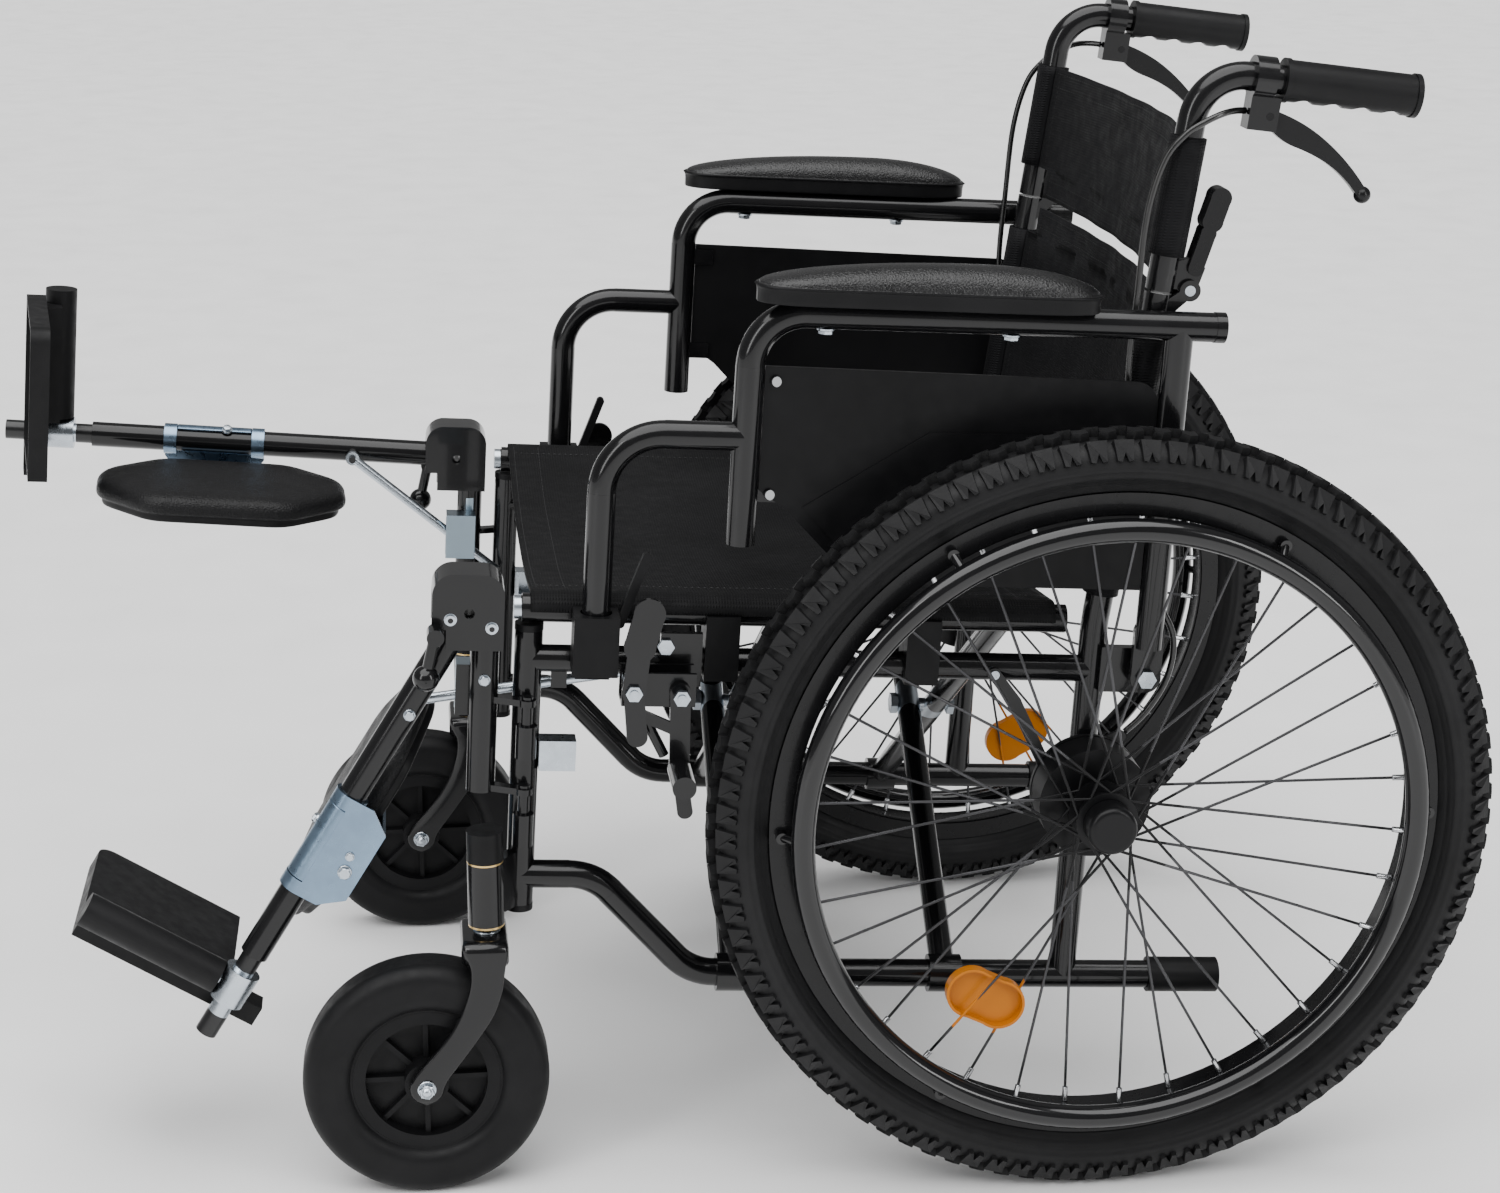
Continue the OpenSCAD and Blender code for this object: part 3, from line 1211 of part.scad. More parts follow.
module cross_tubes(e) {
  half = frame_x;
  color([0.1, 0.1, 0.105]) difference() {
    union() {
      for (u = cross_us) {
        at = u - e * cross_off;
        rod3([e * half, at, low_rail_w], [-e * half, at, seat_rail_w], cross_d);
        translate([e * half, at - cross_sleeve_l / 2, low_rail_w]) rotate([-90, 0, 0])
          cylinder(d = tube_d + sleeve_wall * 2, h = cross_sleeve_l);
      }
      translate([-e * half, seat_front_u, seat_rail_w]) rotate([-90, 0, 0])
        cylinder(d = tube_d, h = seat_rear_u - seat_front_u);
    }
    translate([e * half, step_front_u, low_rail_w]) rotate([-90, 0, 0])
      cylinder(d = tube_d + play * 4, h = rail_end_u - step_front_u);
    if (e < 0) for (u = cross_us) translate([0, u - cross_d * 2, cross_mid_w]) rotate([-90, 0, 0])
      cylinder(d = cross_bolt_d + play * 2, h = cross_d * 4);
  }
  color("silver") translate([-e * half, seat_front_u - cross_head_t - fit, seat_rail_w]) rotate([-90, 0, 0])
    cylinder(d = cross_head_d, h = cross_head_t);
  bolt_l = cross_d * 2 + cross_gap + cross_head_t * 2;
  if (e > 0) color("silver") for (u = cross_us)
    translate([0, u - cross_off - cross_d / 2 - cross_head_t, cross_mid_w]) rotate([-90, 0, 0]) {
      cylinder(d = cross_bolt_d, h = bolt_l);
      cylinder(d = cross_head_d, h = cross_head_t, $fn = hex_fn);
      translate([0, 0, bolt_l - cross_head_t + run])
        cylinder(d = cross_head_d, h = cross_head_t - run, $fn = hex_fn);
    }
}

// Seat and back cloth

sling_steps = 8;
sling_front_u = -437;
sling_rear_u = -34;
sling_clear = 0.3;

// Half of the sagging seat, with its sleeve over the rail
module seat_half(s) color([0.06, 0.06, 0.065]) on_side(s) frame_space() translate([0, sling_front_u, 0])
  rotate([90, 0, 0]) mirror([0, 0, 1]) linear_extrude(sling_rear_u - sling_front_u) {
    top = seat_rail_w + tube_r + sling_clear;
    curve_w = [for (i = [0:sling_steps]) let (x = sling_clear + (frame_x - sling_clear) * i / sling_steps)
      [x, top - seat_sag * (1 - pow(x / frame_x, 2))]];
    polygon(concat(curve_w, [for (i = [sling_steps:-1:0]) curve_w[i] + [0, cloth_t]]));
    translate([frame_x, seat_rail_w]) intersection() {
      difference() {
        circle(tube_r + sling_clear + cloth_t);
        circle(tube_r + sling_clear);
      }
      square(tube_d);
    }
  }

back_steps = 12;
upper_z = [290, 379];
lower_z = [24, 232];
// Edges of the panels at the hinge, where they are narrower than the sleeves' span
upper_flap_z = 266;
lower_flap_z = 256;
flap_gap = 32;

// A sagging panel between the canes, cut away at the hinge, with a sleeve round each cane
module back_panel(sleeve_z, panel_z, cut_z) cane_space() {
  reach = frame_x - tube_r - sling_clear;
  deep = back_sag + cloth_t + over;
  front = [for (i = [-back_steps:back_steps]) let (x = reach * i / back_steps)
    [x, back_sag * (1 - pow(x / reach, 2)) - cloth_t / 2]];
  back = [for (i = [len(front) - 1:-1:0]) front[i] + [0, cloth_t]];
  difference() {
    translate([0, 0, panel_z.x]) linear_extrude(panel_z.y - panel_z.x) polygon(concat(front, back));
    for (e = [-1, 1]) translate([e > 0 ? frame_x - flap_gap : -frame_x, -cloth_t, cut_z.x])
      cube([flap_gap, deep, cut_z.y - cut_z.x]);
  }
  translate([0, 0, sleeve_z.x]) linear_extrude(sleeve_z.y - sleeve_z.x)
    for (e = [-1, 1]) translate([e * frame_x, 0]) difference() {
      circle(tube_r + sling_clear + cloth_t / 2);
      circle(tube_r + sling_clear);
    }
}

module back_upper() color([0.05, 0.05, 0.055])
  back_panel(upper_z, [upper_flap_z, upper_z.y], [upper_flap_z - over, upper_z.x]);
module back_lower() color([0.05, 0.05, 0.055])
  back_panel(lower_z, [lower_z.x, lower_flap_z], [lower_z.y, lower_flap_z + over]);

side_frame(1);  // left_side_frame
frame_fittings(1);  // left_frame_fittings
frame_hardware(1);  // left_frame_hardware
tyre(1);  // left_tyre
rim(1);  // left_rim
hub_spokes(1);  // left_hub_spokes
hand_rim(1);  // left_hand_rim
caster_fork(1);  // left_caster_fork
caster_tyre(1);  // left_caster_tyre
caster_rim(1);  // left_caster_rim
parking_lever(1);  // left_parking_lever
parking_shoe(1);  // left_parking_shoe
back_post(1);  // left_back_post
push_grip(1);  // left_push_grip
brake_lever(1);  // left_brake_lever
brake_cable(1);  // left_brake_cable
back_release(1);  // left_back_release
armrest_frame(1);  // left_armrest_frame
armrest_pad(1);  // left_armrest_pad
skirt_guard(1);  // left_skirt_guard
legrest_hanger(1);  // left_legrest_hanger
leg_tube(1, left_leg_drop);  // left_leg_tube
calf_bracket(1, left_leg_drop);  // left_calf_bracket
calf_pad(1, left_leg_drop);  // left_calf_pad
foot_tube(1, left_leg_drop);  // left_foot_tube
footplate(1, left_leg_drop, left_foot_turn);  // left_footplate
strut(1, left_leg_drop);  // left_strut
side_frame(-1);  // right_side_frame
frame_fittings(-1);  // right_frame_fittings
frame_hardware(-1);  // right_frame_hardware
tyre(-1);  // right_tyre
rim(-1);  // right_rim
hub_spokes(-1);  // right_hub_spokes
hand_rim(-1);  // right_hand_rim
caster_fork(-1);  // right_caster_fork
caster_tyre(-1);  // right_caster_tyre
caster_rim(-1);  // right_caster_rim
parking_lever(-1);  // right_parking_lever
parking_shoe(-1);  // right_parking_shoe
back_post(-1);  // right_back_post
push_grip(-1);  // right_push_grip
brake_lever(-1);  // right_brake_lever
brake_cable(-1);  // right_brake_cable
back_release(-1);  // right_back_release
armrest_frame(-1);  // right_armrest_frame
armrest_pad(-1);  // right_armrest_pad
skirt_guard(-1);  // right_skirt_guard
legrest_hanger(-1);  // right_legrest_hanger
leg_tube(-1, right_leg_drop);  // right_leg_tube
calf_bracket(-1, right_leg_drop);  // right_calf_bracket
calf_pad(-1, right_leg_drop);  // right_calf_pad
foot_tube(-1, right_leg_drop);  // right_foot_tube
footplate(-1, right_leg_drop, right_foot_turn);  // right_footplate
strut(-1, right_leg_drop);  // right_strut
frame_space() cross_tubes(1);  // cross_tubes_a
frame_space() cross_tubes(-1);  // cross_tubes_b
seat_half(1);  // left_seat_half
seat_half(-1);  // right_seat_half
back_upper();
back_lower();
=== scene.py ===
import bpy
import bmesh
import math
from collections import namedtuple
from mathutils import Matrix, Vector


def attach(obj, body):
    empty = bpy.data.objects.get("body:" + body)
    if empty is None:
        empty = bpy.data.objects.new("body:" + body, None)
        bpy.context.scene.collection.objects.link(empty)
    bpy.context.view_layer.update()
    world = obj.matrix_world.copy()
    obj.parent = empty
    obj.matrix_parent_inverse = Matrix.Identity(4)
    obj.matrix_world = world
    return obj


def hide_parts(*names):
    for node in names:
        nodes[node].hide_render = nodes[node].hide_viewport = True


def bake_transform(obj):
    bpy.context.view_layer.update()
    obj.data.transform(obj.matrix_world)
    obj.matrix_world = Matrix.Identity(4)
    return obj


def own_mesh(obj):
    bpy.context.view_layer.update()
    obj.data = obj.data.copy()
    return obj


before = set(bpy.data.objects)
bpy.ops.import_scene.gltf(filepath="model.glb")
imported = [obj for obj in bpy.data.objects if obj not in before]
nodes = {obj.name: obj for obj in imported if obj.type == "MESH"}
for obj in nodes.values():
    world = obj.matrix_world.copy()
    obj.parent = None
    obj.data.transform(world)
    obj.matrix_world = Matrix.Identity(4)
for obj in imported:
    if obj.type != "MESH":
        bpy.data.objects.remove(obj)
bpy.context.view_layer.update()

# Values that the looks share with the solids, in metres and radians
PITCH = math.radians(3.1)  # tilt of the frame, its front end up
WHEEL_R = 0.305
WHEEL_X = 0.309
AXLE_Y = 0.283686
FRAME_X = 0.229
CASTER_X = 0.260
CASTER_Y = AXLE_Y - 0.468
CASTER_R = 0.095
CASTER_TRAIL = 0.049
SEAT_W = 0.132
ARM_W = 0.370
TUBE_R = 0.011
KNEE_W = 0.130
LEAN = math.radians(5.5)  # of the back canes
LEG_X = 0.235
LEG_P = (-0.483, 0.133)
LEG_DROP = {1: math.radians(61.1), -1: math.radians(-1.8)}
SIDES = {1: "left", -1: "right"}
CP, SP = math.cos(PITCH), math.sin(PITCH)
OUTWARD = Vector((1, 0, 0))
UP = Vector((0, SP, CP))
AHEAD = -Vector((0, CP * math.cos(LEAN), -SP))


def at(x, u, w):
    """A point of the tilted frame: x across, u to the rear and w up from the rear axle."""
    return Vector((x, AXLE_Y + u * CP + w * SP, WHEEL_R - u * SP + w * CP))


def cane(x, depth, h):
    """A point beside the back cane: h along it from its knee, depth to its rear."""
    c, s = math.cos(LEAN), math.sin(LEAN)
    return at(x, depth * c + h * s, KNEE_W - depth * s + h * c)


def leg(side, x, s, n):
    """A point of a leg rest: x outboard of its tube, s along the tube, n to its front."""
    d = LEG_DROP[side]
    c, k = math.cos(d), math.sin(d)
    return at(LEG_X + x, LEG_P[0] - s * c - n * k, LEG_P[1] - s * k + n * c)


def flip(side, p):
    """A point of the left side, or its mirror image for the right side."""
    return Vector((p.x * side, p.y, p.z))


def spaced(a, b, n):
    """Values from a to b in n equal steps."""
    return [a + (b - a) * i / n for i in range(n + 1)]


# Materials

Look = namedtuple("Look", "mat tree shader coords")
MID_RANGE = (0.3, 0.7)  # part of a noise's range that colour and gloss are spread over
BAND_PERIOD = 0.31416  # of a Wave texture at scale 1
THREAD_PERIOD = 0.0022
WEAVE_AXIS = {"weave_seat": "Y", "weave_back": "Z"}
LEATHER_CELLS, PLASTIC_CELLS = 420, 900
# first input, second input and output of a Mix node, by its data type
MIX_SOCKETS = {"RGBA": (6, 7, 2), "FLOAT": (2, 3, 0)}
FULL = -1  # inner radius of a mask that fills its circle


def new_look(name):
    mat = bpy.data.materials.new(name)
    mat.use_nodes = True
    tree = mat.node_tree
    coords = tree.nodes.new("ShaderNodeTexCoord").outputs["Object"]
    return Look(mat, tree, tree.nodes["Principled BSDF"], coords)


def node(look, kind, inputs, **settings):
    """A new node. Each of its inputs takes a value, or the link from a socket."""
    n = look.tree.nodes.new(kind)
    for key, value in settings.items():
        setattr(n, key, value)
    for key, value in inputs.items():
        if isinstance(value, bpy.types.NodeSocket):
            look.tree.links.new(value, n.inputs[key])
        else:
            n.inputs[key].default_value = value
    return n


def noise(look, scale, detail=3.0):
    inputs = {"Scale": scale, "Detail": detail, "Roughness": 0.55, "Vector": look.coords}
    return node(look, "ShaderNodeTexNoise", inputs).outputs["Fac"]


def calc(look, operation, *values):
    return node(look, "ShaderNodeMath", dict(enumerate(values)), operation=operation).outputs[0]


def spread(look, fac, low, high):
    inputs = {"To Min": low, "To Max": high, "From Min": MID_RANGE[0], "From Max": MID_RANGE[1], "Value": fac}
    return node(look, "ShaderNodeMapRange", inputs).outputs["Result"]


def tint(look, fac, dark, light):
    n = node(look, "ShaderNodeValToRGB", {"Fac": fac})
    for stop, place, color in zip(n.color_ramp.elements, MID_RANGE, (dark, light)):
        stop.position = place
        stop.color = (*color, 1)
    return n.outputs["Color"]


def shade(color, k):
    return tuple(min(1, v * k) for v in color)


def threads(look, axis):
    inputs = {"Scale": BAND_PERIOD / THREAD_PERIOD, "Distortion": 0.4, "Detail": 1, "Vector": look.coords}
    return node(look, "ShaderNodeTexWave", inputs, wave_type="BANDS", bands_direction=axis).outputs["Fac"]


def cells(look, scale):
    inputs = {"Scale": scale, "Vector": look.coords}
    return node(look, "ShaderNodeTexVoronoi", inputs, feature="DISTANCE_TO_EDGE").outputs["Distance"]


def finish(name, color, rough, metal=0.0, coat=0.0, coat_rough=0.08, spec=0.5, grain=None, vary=0.25,
           broad=14, fine=420, depth=0.0004, strength=0.15, sheen=0.0):
    """A finish with broad colour variation, uneven gloss and a fine surface texture."""
    look = new_look(name)
    link, sockets = look.tree.links.new, look.shader.inputs
    wide = noise(look, broad)
    small = noise(look, fine, 4.0)
    link(tint(look, wide, shade(color, 1 - vary), shade(color, 1 + vary)), sockets["Base Color"])
    link(spread(look, noise(look, broad * 6), rough * 0.8, min(1, rough * 1.2)), sockets["Roughness"])
    sockets["Metallic"].default_value = metal
    sockets["Coat Weight"].default_value = coat
    sockets["Coat Roughness"].default_value = coat_rough
    sockets["Specular IOR Level"].default_value = spec
    sockets["Sheen Weight"].default_value = sheen
    height = small
    if grain == "leather":
        height = calc(look, "ADD", calc(look, "MULTIPLY", cells(look, LEATHER_CELLS), 1.6), small)
    elif grain == "plastic":
        height = calc(look, "ADD", cells(look, PLASTIC_CELLS), small)
    elif grain in WEAVE_AXIS:
        weave = calc(look, "MULTIPLY", threads(look, "X"), threads(look, WEAVE_AXIS[grain]))
        height = calc(look, "ADD", weave, calc(look, "MULTIPLY", small, 0.4))
    bump = node(look, "ShaderNodeBump", {"Strength": strength, "Distance": depth, "Height": height})
    link(bump.outputs["Normal"], sockets["Normal"])
    return look


def plain(name, color, **settings):
    """The material of a finish that is the same all over."""
    return finish(name, color, **settings).mat


def axes(look):
    return node(look, "ShaderNodeSeparateXYZ", {0: look.coords}).outputs


def between(look, value, low, high):
    """One where a value lies between two others."""
    above, below = calc(look, "GREATER_THAN", value, low), calc(look, "LESS_THAN", value, high)
    return calc(look, "MULTIPLY", above, below)


def mask_tube(look, centre, radii, across=(0, 1), side=0):
    """One between two radii round a line along X, and between two distances from the middle."""
    x, y, z = axes(look)
    dy = calc(look, "SUBTRACT", y, centre[0])
    dz = calc(look, "SUBTRACT", z, centre[1])
    squares = calc(look, "ADD", calc(look, "MULTIPLY", dy, dy), calc(look, "MULTIPLY", dz, dz))
    r = calc(look, "SQRT", squares)
    x = calc(look, "MULTIPLY", x, side) if side else calc(look, "ABSOLUTE", x)
    return calc(look, "MULTIPLY", between(look, r, *radii), between(look, x, *across))


def mask_box(look, low, high):
    """One inside a box and its mirror image."""
    x, y, z = axes(look)
    x = calc(look, "ABSOLUTE", x)
    out = None
    for value, a, b in zip((x, y, z), low, high):
        inside = between(look, value, a, b)
        out = inside if out is None else calc(look, "MULTIPLY", out, inside)
    return out


def mask_beyond(look, point, way):
    """One on the side of a plane through a point that the way leads to."""
    off = node(look, "ShaderNodeVectorMath", {1: point, 0: look.coords}, operation="SUBTRACT")
    dot = node(look, "ShaderNodeVectorMath", {1: way, 0: off.outputs["Vector"]}, operation="DOT_PRODUCT")
    return calc(look, "GREATER_THAN", dot.outputs["Value"], 0.0)


def zone(look, mask, color, rough, metal):
    """Gives the masked part of a finish its own colour, gloss and metal."""
    for socket, kind, value in (("Base Color", "RGBA", (*color, 1)), ("Roughness", "FLOAT", rough),
                                ("Metallic", "FLOAT", metal)):
        first, second, result = MIX_SOCKETS[kind]
        old = look.shader.inputs[socket]
        before = old.links[0].from_socket if old.is_linked else old.default_value
        mix = node(look, "ShaderNodeMix", {0: mask, first: before, second: value}, data_type=kind)
        look.tree.links.new(mix.outputs[result], old)


BLACK = (0.0045, 0.0045, 0.005)
DEEP_BLACK = (0.004, 0.004, 0.0045)
SATIN_BLACK = (0.005, 0.005, 0.0055)
MOULD_BLACK = (0.006, 0.006, 0.0065)
RUBBER_BLACK = (0.0075, 0.0075, 0.008)
STEEL = (0.52, 0.57, 0.62)
NIPPLE_STEEL = (0.70, 0.71, 0.73)
SCREW_STEEL = (0.42, 0.43, 0.44)
BLUE_ZINC = (0.21, 0.295, 0.395)
PALE_ZINC = (0.36, 0.45, 0.52)
BRASS = (0.72, 0.50, 0.20)
AMBER = (0.44, 0.135, 0.002)
PAINT = dict(rough=0.2, coat=0.3, coat_rough=0.05, spec=0.25, broad=9, fine=260, depth=0.0002, strength=0.06)
MOULD = dict(rough=0.42, spec=0.15, grain="plastic", fine=700, depth=0.00025, strength=0.2)
PLATED = dict(metal=1.0, fine=300, depth=0.0001, strength=0.05)
PADDED = dict(grain="leather", depth=0.0009, strength=0.45)
WOVEN = dict(rough=0.6, spec=0.1, fine=900, depth=0.0008, strength=0.6, sheen=0.012)

paint = plain("black_paint", BLACK, **PAINT)
fork_mat = plain("fork_finish", BLACK, **PAINT)
shoe_mat = plain("shoe_finish", BLACK, **PAINT)
rim_paint = plain("rim_paint", SATIN_BLACK, rough=0.25, coat=0.15, spec=0.2, fine=300, depth=0.0002,
                  strength=0.08)
hand_rim = plain("hand_rim_paint", DEEP_BLACK, rough=0.14, coat=0.4, coat_rough=0.04, spec=0.3, fine=200,
                 depth=0.0002, strength=0.05)
rubber = plain("tyre_rubber", RUBBER_BLACK, rough=0.5, spec=0.2, fine=520, depth=0.0006, strength=0.3)
caster_rubber = plain("caster_rubber", (0.007, 0.007, 0.0075), rough=0.48, spec=0.15, fine=380, depth=0.0004,
                      strength=0.2)
mould = plain("black_mould", MOULD_BLACK, **MOULD)
caster_mould = plain("caster_mould", MOULD_BLACK, **MOULD)
fit_mat = plain("fittings_mould", MOULD_BLACK, **MOULD)
foot_mat = plain("footplate_mould", RUBBER_BLACK, rough=0.48, spec=0.18, grain="plastic", fine=600,
                 depth=0.0004, strength=0.25)
grip_mat = plain("grip_rubber", MOULD_BLACK, rough=0.4, spec=0.18, grain="plastic", fine=500, depth=0.0003,
                 strength=0.2)
lever_mat = plain("lever_plastic", SATIN_BLACK, rough=0.3, coat=0.1, spec=0.22, fine=350, depth=0.0002,
                  strength=0.1)
zinc = plain("zinc_plate", STEEL, rough=0.28, vary=0.12, broad=25, **PLATED)
blue_zinc = plain("blue_zinc_plate", BLUE_ZINC, rough=0.3, vary=0.1, broad=25, **PLATED)
leather = plain("pad_leather", (0.008, 0.008, 0.0085), rough=0.3, spec=0.35, coat=0.12, coat_rough=0.3,
                **PADDED)
calf_leather = plain("calf_leather", MOULD_BLACK, rough=0.42, spec=0.2, **PADDED)
seat_cloth = plain("seat_nylon", (0.0065, 0.0065, 0.007), grain="weave_seat", **WOVEN)
back_cloth = plain("back_nylon", (0.0060, 0.0060, 0.0068), grain="weave_back", **WOVEN)
thread = plain("seam_thread", (0.012, 0.012, 0.013), rough=0.55, fine=1500, depth=0.0003, strength=0.4)
cable_mat = plain("cable_jacket", (0.004, 0.004, 0.004), rough=0.3, coat=0.3, fine=300)

# Wheel hubs: a black drum, bright nipples and an amber reflector between grey spokes
AXLE = (AXLE_Y, WHEEL_R)
DRUM_R, NIPPLE_R = (FULL, 0.060), (0.2280, 0.30)
REFLECTOR_AT, REFLECTOR_R = 0.170, (FULL, 0.0335)
REFLECTOR_X = (WHEEL_X - 0.007, WHEEL_X + 0.007)
REFLECTOR_TURN = {1: math.radians(-31), -1: math.radians(23)}
hub = finish("wheel_hub", (0.06, 0.06, 0.063), rough=0.3, metal=1.0, spec=0.2, fine=500, depth=0.0002)
zone(hub, mask_tube(hub, AXLE, DRUM_R), SATIN_BLACK, 0.32, 0.0)
zone(hub, mask_tube(hub, AXLE, NIPPLE_R), NIPPLE_STEEL, 0.25, 1.0)
for side, spin in REFLECTOR_TURN.items():
    centre = (AXLE_Y + REFLECTOR_AT * math.sin(spin), WHEEL_R - REFLECTOR_AT * math.cos(spin))
    zone(hub, mask_tube(hub, centre, REFLECTOR_R, REFLECTOR_X, side), AMBER, 0.34, 0.0)

# Hardware of the frame: zinc, with a black backing plate behind each drum
BACKING_R, BACKING_X = (0.0135, 0.30), (0.2425, 0.2515)
hardware = finish("zinc_hardware", STEEL, rough=0.3, vary=0.12, broad=40, **PLATED)
zone(hardware, mask_tube(hardware, AXLE, BACKING_R, BACKING_X), BLACK, 0.35, 0.0)

# Hangers of the leg rests: a zinc latch low on the post, and bright pin ends on the knuckle
LATCH_X, LATCH_EDGE = (0.195, 0.2245), 0.004
LATCH_LOW, LATCH_HIGH = at(0, -0.4930, 0.040), at(0, -0.4620, 0.092)
PIN_R, PIN_X = (0.0021, 0.0048), (0.2515, 0.2590)
PINS = (at(0, -0.497, 0.128), at(0, -0.466, 0.122))
hanger = finish("hanger_finish", BLACK, **PAINT)
latch = mask_box(hanger, (LATCH_X[0], LATCH_LOW.y - LATCH_EDGE, LATCH_LOW.z),
                 (LATCH_X[1], LATCH_HIGH.y + LATCH_EDGE, LATCH_HIGH.z + LATCH_EDGE))
zone(hanger, latch, PALE_ZINC, 0.3, 1.0)
for p in PINS:
    zone(hanger, mask_tube(hanger, (p.y, p.z), PIN_R, PIN_X), STEEL, 0.28, 1.0)

# Foot tubes: steel between a black collar and a black plug
FOOT_COLLAR, FOOT_PLUG = 0.337, 0.379
foot_looks = {}
for side, word in SIDES.items():
    foot = finish(f"{word}_foot_tube_steel", STEEL, rough=0.25, vary=0.12, broad=25, **PLATED)
    along = leg(side, 0, 1, 0) - leg(side, 0, 0, 0)
    for place, way in ((FOOT_COLLAR, -along), (FOOT_PLUG, along)):
        zone(foot, mask_beyond(foot, flip(side, leg(side, 0, place, 0)), way), BLACK, 0.3, 0.0)
    foot_looks[f"{word}_foot_tube"] = foot.mat

# Side frames: a brass ring at either end of each caster housing
HOUSING_LOW, HOUSING_TOP, HOUSING_R = 0.217, 0.270, 0.0145
side_frame = finish("frame_finish", BLACK, **PAINT)
for low, high in ((HOUSING_LOW, HOUSING_LOW + 0.0016), (HOUSING_TOP - 0.0014, HOUSING_TOP)):
    ring = mask_box(side_frame, (CASTER_X - HOUSING_R, CASTER_Y - HOUSING_R, low),
                    (CASTER_X + HOUSING_R, CASTER_Y + HOUSING_R, high))
    zone(side_frame, ring, BRASS, 0.3, 1.0)

# Cross tubes: steel at the front ends of the seat rails and at the centre bolts
RAIL_END, RAIL_X, RAIL_HALF = at(0, -0.4435, SEAT_W), (0.215, 0.245), 0.02
BOLT_LOW = (-0.1, at(0, -0.3, 0).y, at(0, 0, -0.028).z)
BOLT_HIGH = (0.012, at(0, 0, 0).y, at(0, -0.3, -0.006).z)
cross = finish("cross_finish", BLACK, **PAINT)
ends = mask_box(cross, (RAIL_X[0], -1, RAIL_END.z - RAIL_HALF),
                (RAIL_X[1], RAIL_END.y, RAIL_END.z + RAIL_HALF))
zone(cross, ends, STEEL, 0.3, 1.0)
zone(cross, mask_box(cross, BOLT_LOW, BOLT_HIGH), STEEL, 0.3, 1.0)

# Skirt guards: bright screws along the front edge
SKIRT_SCREWS = (at(0, -0.2639, 0.319), at(0, -0.2639, 0.233))
SCREW_R, SCREW_X = (FULL, 0.0039), (0.2596, 0.27)
skirt = finish("skirt_finish", SATIN_BLACK, rough=0.36, spec=0.15, grain="plastic", fine=800, depth=0.0002,
               strength=0.14)
for p in SKIRT_SCREWS:
    zone(skirt, mask_tube(skirt, (p.y, p.z), SCREW_R, SCREW_X), SCREW_STEEL, 0.3, 1.0)

LOOKS = {
    "side_frame": side_frame.mat, "frame_fittings": fit_mat, "frame_hardware": hardware.mat, "tyre": rubber,
    "rim": rim_paint, "hub_spokes": hub.mat, "hand_rim": hand_rim, "caster_fork": fork_mat,
    "caster_tyre": caster_rubber, "caster_rim": caster_mould, "parking_lever": paint,
    "parking_shoe": shoe_mat, "back_post": paint, "push_grip": grip_mat, "brake_lever": lever_mat,
    "back_release": lever_mat, "armrest_frame": paint, "skirt_guard": skirt.mat, "legrest_hanger": hanger.mat,
    "leg_tube": paint, "calf_bracket": blue_zinc, "footplate": foot_mat, "strut": zinc,
    "cross_tubes_a": cross.mat, "cross_tubes_b": cross.mat, **foot_looks,
}


def look_of(name):
    """The material of a node, by its full name or by its name without the side."""
    return LOOKS.get(name) or LOOKS.get(name.split("_", 1)[1])


for name, ob in nodes.items():
    mat = look_of(name)
    if mat and not ob.material_slots:
        ob.data.materials.append(mat)
    elif mat:
        for slot in ob.material_slots:
            slot.material = mat

# Meshes


def make(name, verts, faces, mats, index=None, smooth=True):
    """A mesh object with its materials, the index of each face's material, and normals outward."""
    me = bpy.data.meshes.new(name)
    me.from_pydata([tuple(v) for v in verts], [], faces)
    me.update()
    ob = bpy.data.objects.new(name, me)
    bpy.context.collection.objects.link(ob)
    for m in mats:
        me.materials.append(m)
    for i, p in enumerate(me.polygons):
        p.use_smooth = smooth
        if index:
            p.material_index = index[i]
    bm = bmesh.new()
    bm.from_mesh(me)
    bmesh.ops.recalc_face_normals(bm, faces=bm.faces)
    bm.to_mesh(me)
    bm.free()
    return ob


def soften(ob):
    sub = ob.modifiers.new("soften", "SUBSURF")
    sub.levels = sub.render_levels = 1
    return ob


def grid_faces(rows, cols, closed=False, start=0):
    out = []
    for i in range(rows - 1):
        for j in range(cols if closed else cols - 1):
            k = (j + 1) % cols
            out.append((start + i * cols + j, start + i * cols + k, start + (i + 1) * cols + k,
                        start + (i + 1) * cols + j))
    return out


def rod_faces(rings, n, start=0):
    """The faces round a row of rings of n points each, and over both its ends."""
    last = start + (rings - 1) * n
    ends = [tuple(start + k for k in range(n)), tuple(last + k for k in reversed(range(n)))]
    return grid_faces(rings, n, True, start) + ends


def circle(n):
    """The angles of n points round a circle."""
    return [2 * math.pi * k / n for k in range(n)]


def spline(points, n):
    """A smooth line through points, with n steps from each to the next."""
    out = []
    for i in range(len(points) - 1):
        a, b, c, d = (points[max(0, min(len(points) - 1, i + k))] for k in (-1, 0, 1, 2))
        for k in range(n):
            t = k / n
            out.append((b * 2 + (c - a) * t + (a * 2 - b * 5 + c * 4 - d) * t * t
                        + (b * 3 - a - c * 3 + d) * t ** 3) / 2)
    return out + [points[-1]]


# Cloth with rows of stitches

CLOTH = 0.0026
CLOTH_GAP = 0.0003  # between a tube and the cloth round it
STITCH_W, STITCH_PITCH, STITCH_LIFT = 0.0009, 0.0042, 0.0006
STITCH_FROM, STITCH_TO, STITCH_SINK = 0.12, 0.85, 0.4
SEAM_RISE = 0.55  # of the stitches over the cloth's middle, as a share of its thickness


